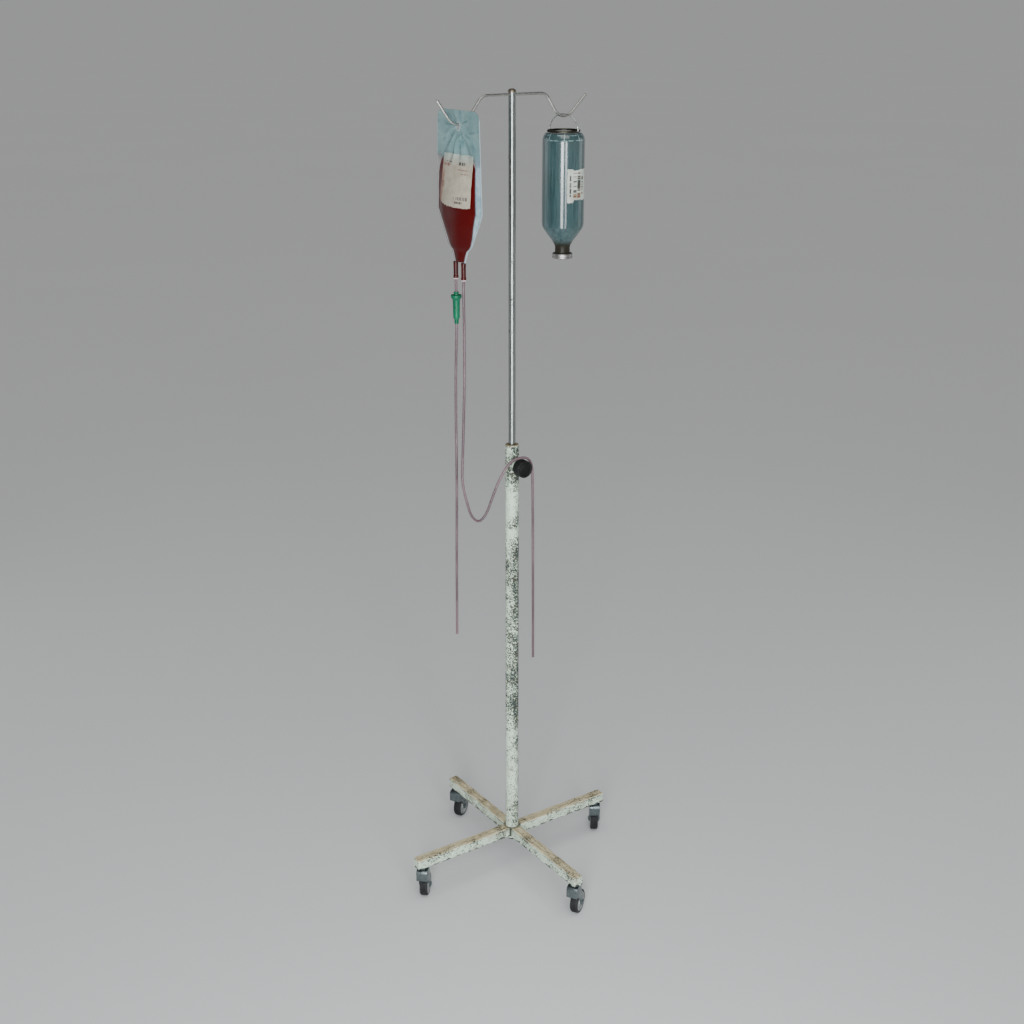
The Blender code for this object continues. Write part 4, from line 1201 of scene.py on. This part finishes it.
def build_clamp():
    """The boss on the column, and the round knob whose screw presses on the rod."""
    low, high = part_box("clamp_knob")
    r = (high.z - low.z) / 2
    front, back = -low.y, -high.y
    profile = [(0, front - 0.0002), (0.0118, front - 0.0002), (0.0128, front - 0.0016)]
    profile += [(0.0150, front - 0.0016), (0.0160, front - 0.0004), (0.0182, front), (r, front - 0.0018)]
    profile += [(r, front - 0.0042), (r - 0.0007, front - 0.0048), (r - 0.0007, front - 0.0056)]
    profile += [(r, front - 0.0062), (r, back + 0.0050), (r - 0.0007, back + 0.0044)]
    profile += [(r - 0.0007, back + 0.0036), (r, back + 0.0030), (r - 0.0006, back + 0.0010)]
    profile += [(r - 0.0030, back), (0.0120, back), (0.0105, back + 0.0012), (0.0043, back + 0.0012)]
    profile += [(0.0043, front - 0.0036), (0, front - 0.0036)]
    knob = lathe("knob", profile, 0.0009, place=laid((0, 0, middle_of("clamp_knob").z), 90))
    light, dark, dull = (0.010, 0.011, 0.010), (0.004, 0.005, 0.004), {"Specular IOR Level": 0.25}
    black = plastic_finish("knob_black", light, dark, 0.50, scale=45, constants=dull)
    add_piece("clamp_handwheel", knob, black, "clamp_screw", ("clamp_knob",))
    dress("clamp_boss", worn_paint("boss_paint", plain_density))
    dress("clamp_pad", metal_finish("pad_brass", (0.60, 0.42, 0.16), (0.42, 0.28, 0.10), 0.35))


def build_rod():
    """The steel rod with its foot flange, and the bronze cap on its top."""
    flange, low, high = upright("rod")
    bore = ROD_R - ROD_WALL
    foot = low + 0.005
    profile = [(ROD_R, high), (ROD_R, foot), (flange, foot), (flange, low), (bore, low), (bore, high)]
    mesh = drilled(turned("rod", profile, 64, loop=True), 0.0034, 0.02, laid((0, 0, HOOK_Z), 90, "Y"))
    steel = metal_finish("rod_steel", (0.35, 0.375, 0.36), (0.25, 0.27, 0.26), 0.27, grain=(90, 90, 1.5))
    add_piece("rod_tube", mesh, steel, "mast", ("rod",))
    dress("rod_guide", plastic_finish("guide_nylon", (0.55, 0.54, 0.50), (0.46, 0.45, 0.41), 0.5))

    r, brim, crown = upright("rod_cap")
    rise, gap = 0.0055, 0.0003
    turns = [math.pi * i / 24 for i in range(12)]
    profile = [(r * math.sin(a), crown - rise + rise * math.cos(a)) for a in turns]
    profile += [(r, brim + 0.0006), (r - 0.0004, brim), (ROD_R + gap, brim), (ROD_R + gap, high + gap)]
    dome = turned("dome", [*profile, (0, high + gap)])
    bronze = metal_finish("cap_bronze", (0.34, 0.28, 0.21), (0.18, 0.145, 0.11), 0.36, bump=0.00012)
    add_piece("rod_dome", dome, bronze, "mast", ("rod_cap",))
    build_hooks()


def build_hooks():
    """One wire through the rod's eye, bent down to a hook on each side."""
    bag_side = [(0, HOOK_Z), (-0.0746, 1.8857), (-0.1335, 1.8105), (-0.1853, 1.8815)]
    bottle_side = [(0, HOOK_Z), (0.0870, 1.8857), (0.1310, 1.8192), (0.1945, 1.8808)]
    halves = [round_bends(corners, (0.025, 0.031)) for corners in (bag_side, bottle_side)]
    path = [(x, 0, z) for x, z in [*reversed(halves[0][1:]), *halves[1]]]
    light, dark = (0.58, 0.58, 0.54), (0.42, 0.42, 0.39)
    steel = metal_finish("hook_steel", light, dark, 0.38, grain=(30, 30, 30), spots=0.80)
    add_piece("hooks", sweep("hooks", path, 0.003, sides=20), steel, "mast", ("hook_wire",))


def round_bends(corners, radii, count=9):
    """2D points through corners, with an arc of a true radius at each inner corner."""
    corners = [Vector(c) for c in corners]
    path = [tuple(corners[0])]
    for radius, before, corner, after in zip(radii, corners, corners[1:], corners[2:]):
        back = (before - corner).normalized()
        ahead = (after - corner).normalized()
        half = back.angle(ahead) / 2
        centre = corner + (back + ahead).normalized() * (radius / math.sin(half))
        start = corner + back * (radius / math.tan(half)) - centre
        end = corner + ahead * (radius / math.tan(half)) - centre
        for i in range(count):
            t = i / (count - 1)
            path.append(tuple(centre + radius * (start.lerp(end, t)).normalized()))
    path.append(tuple(corners[-1]))
    return path


# ---------------------------------------------------------------- casters


def build_casters():
    """Four casters, each turned its own way round its swivel axis."""
    zinc = metal_finish("zinc", (0.235, 0.275, 0.285), (0.095, 0.113, 0.115), 0.34, bump=0.00015)
    disc = plastic_finish("wheel_grey", (0.36, 0.37, 0.36), (0.20, 0.21, 0.21), 0.45, scale=90, bump=0.0001)
    light, dark = (0.017, 0.018, 0.018), (0.007, 0.007, 0.008)
    tyre = plastic_finish("tyre_black", light, dark, 0.62, scale=70, bump=0.00018)
    for side in SIDES:
        swivel = Vector(JOINTS[f"swivel_{side}"]["pos_m"])
        axle = Vector(JOINTS[f"roll_{side}"]["pos_m"])
        trail = axle - swivel
        reach = math.hypot(trail.x, trail.y)
        heading = math.degrees(math.atan2(trail.y, trail.x))
        stem = laid((swivel.x, swivel.y, 0), heading, "Z")
        hub = stem @ laid((reach, 0, axle.z), 90)
        fork = fork_mesh(reach, axle.z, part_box(f"caster_fork_{side}")[1].z)
        for name, node, mesh, place, finish, body, slot in (
            ("fork", "caster_fork", fork, stem, zinc, "caster", "zinc"),
            ("disc", "caster_wheel", disc_mesh(), hub, disc, "wheel", "wheel_plastic"),
            ("tyre", "caster_tyre", tyre_mesh(axle.z), hub, tyre, "wheel", "tyre"),
            ("rivet", "caster_axle", rivet_mesh(), hub, zinc, "caster", "zinc"),
        ):
            add_piece(f"{name}_{side}", moved(mesh, place), finish, f"{body}_{side}", (f"{node}_{side}",))
        for node in ("caster_stem", "caster_nut"):
            dress(f"{node}_{side}", zinc)


def fork_mesh(trail, axle_z, top):
    """The pressed fork: a hood with rounded edges, and an arm down each side to the axle."""
    front, nose, boss = -0.0155, 0.008, 0.0085
    width, sheet, edge = 0.027, 0.0025, 0.0006
    turns = [math.radians(180 - 18 * i) for i in range(6)]
    outline = [(front, 0.0615)]
    outline += [(front + nose + nose * math.cos(a), top - nose + nose * math.sin(a)) for a in turns]
    outline += [(0.013, top), (0.0165, 0.075), (0.0290, 0.050)]
    turns = [math.radians(20 - 210 * i / 20) for i in range(21)]
    outline += [(trail + boss * math.cos(a), axle_z + boss * math.sin(a)) for a in turns]
    outline += [(0.0095, 0.046), (-0.002, 0.058)]
    body = plate_mesh(rounded(outline, 0.0008, count=2, closed=True), width, edge)
    slot = width / 2 - sheet
    room = [(front + sheet, -0.01), (0.08, -0.01), (0.08, top - sheet)]
    room += [(front + 0.007, top - sheet), (front + sheet, top - sheet - 0.0045)]
    body = cut(body, loft("room", [[(x, y, z) for x, z in room] for y in (-slot, slot)]))
    body = drilled(body, 0.0052, 0.02, laid((0, 0, top)))
    return drilled(body, 0.0043, 0.03, laid((trail, 0, axle_z), 90))


def plate_mesh(outline, width, edge):
    """A plate as wide as width along Y, with its (x, z) outline and bevelled edges."""
    curve = bpy.data.curves.new("plate", "CURVE")
    curve.dimensions = "2D"
    curve.fill_mode = "BOTH"
    curve.extrude = width / 2 - edge
    curve.bevel_depth = edge
    curve.bevel_resolution = 2
    curve.offset = -edge
    spline = curve.splines.new("POLY")
    spline.points.add(len(outline) - 1)
    for point, (x, z) in zip(spline.points, outline):
        point.co = (x, z, 0, 1)
    spline.use_cyclic_u = True
    bm = bmesh.new()
    bm.from_mesh(applied(new_object("plate", curve)))
    return moved(mesh_of(bm, "plate"), laid((0, 0, 0), 90))


def disc_mesh():
    """The wheel's dished centre, with a raised rim and hub."""
    side = [(0.0234, 0.0090), (0.0222, 0.0096), (0.0190, 0.0094), (0.0178, 0.0072), (0.0125, 0.0066)]
    side += [(0.0105, 0.0080), (0.0098, 0.0103), (0.0042, 0.0103)]
    profile = [*side, *[(r, -z) for r, z in reversed(side)]]
    return lathe("disc", profile, 0.0008, 72, count=3, closed=True)


def tyre_mesh(radius):
    """The tyre: a rounded tread with three grooves round it."""
    shoulder = [(radius - 0.0055, 0.0098), (radius - 0.0022, 0.0094), (radius - 0.0004, 0.0076)]
    tread = [*shoulder, (radius, 0.0058)]
    for centre in (0.0038, 0.0, -0.0038):
        tread += [(radius, centre + 0.0008), (radius - 0.0016, centre + 0.0005)]
        tread += [(radius - 0.0016, centre - 0.0005), (radius, centre - 0.0008)]
    tread += [(r, -z) for r, z in reversed([*shoulder, (radius, 0.0058)])]
    inner = 0.0238
    profile = [*tread, (inner, -0.0096), (inner, 0.0096)]
    return lathe("tyre", profile, 0.0004, count=2, closed=True)


def rivet_mesh():
    """The wheel's rivet, with a domed head outside each arm."""
    arm = 0.0138
    head = [(0, arm + 0.0022), (0.0026, arm + 0.0021), (0.0048, arm + 0.0014), (0.0060, arm + 0.0004)]
    head += [(0.0062, arm), (0.0039, arm)]
    return turned("rivet", [*head, *[(r, -z) for r, z in reversed(head)]], 40)


# ---------------------------------------------------------------- scene


def main():
    add_camera()
    build_lines()
    add_stage()
    build_bag()
    build_bottle()
    build_base()
    build_column()
    build_clamp()
    build_rod()
    build_casters()


main()
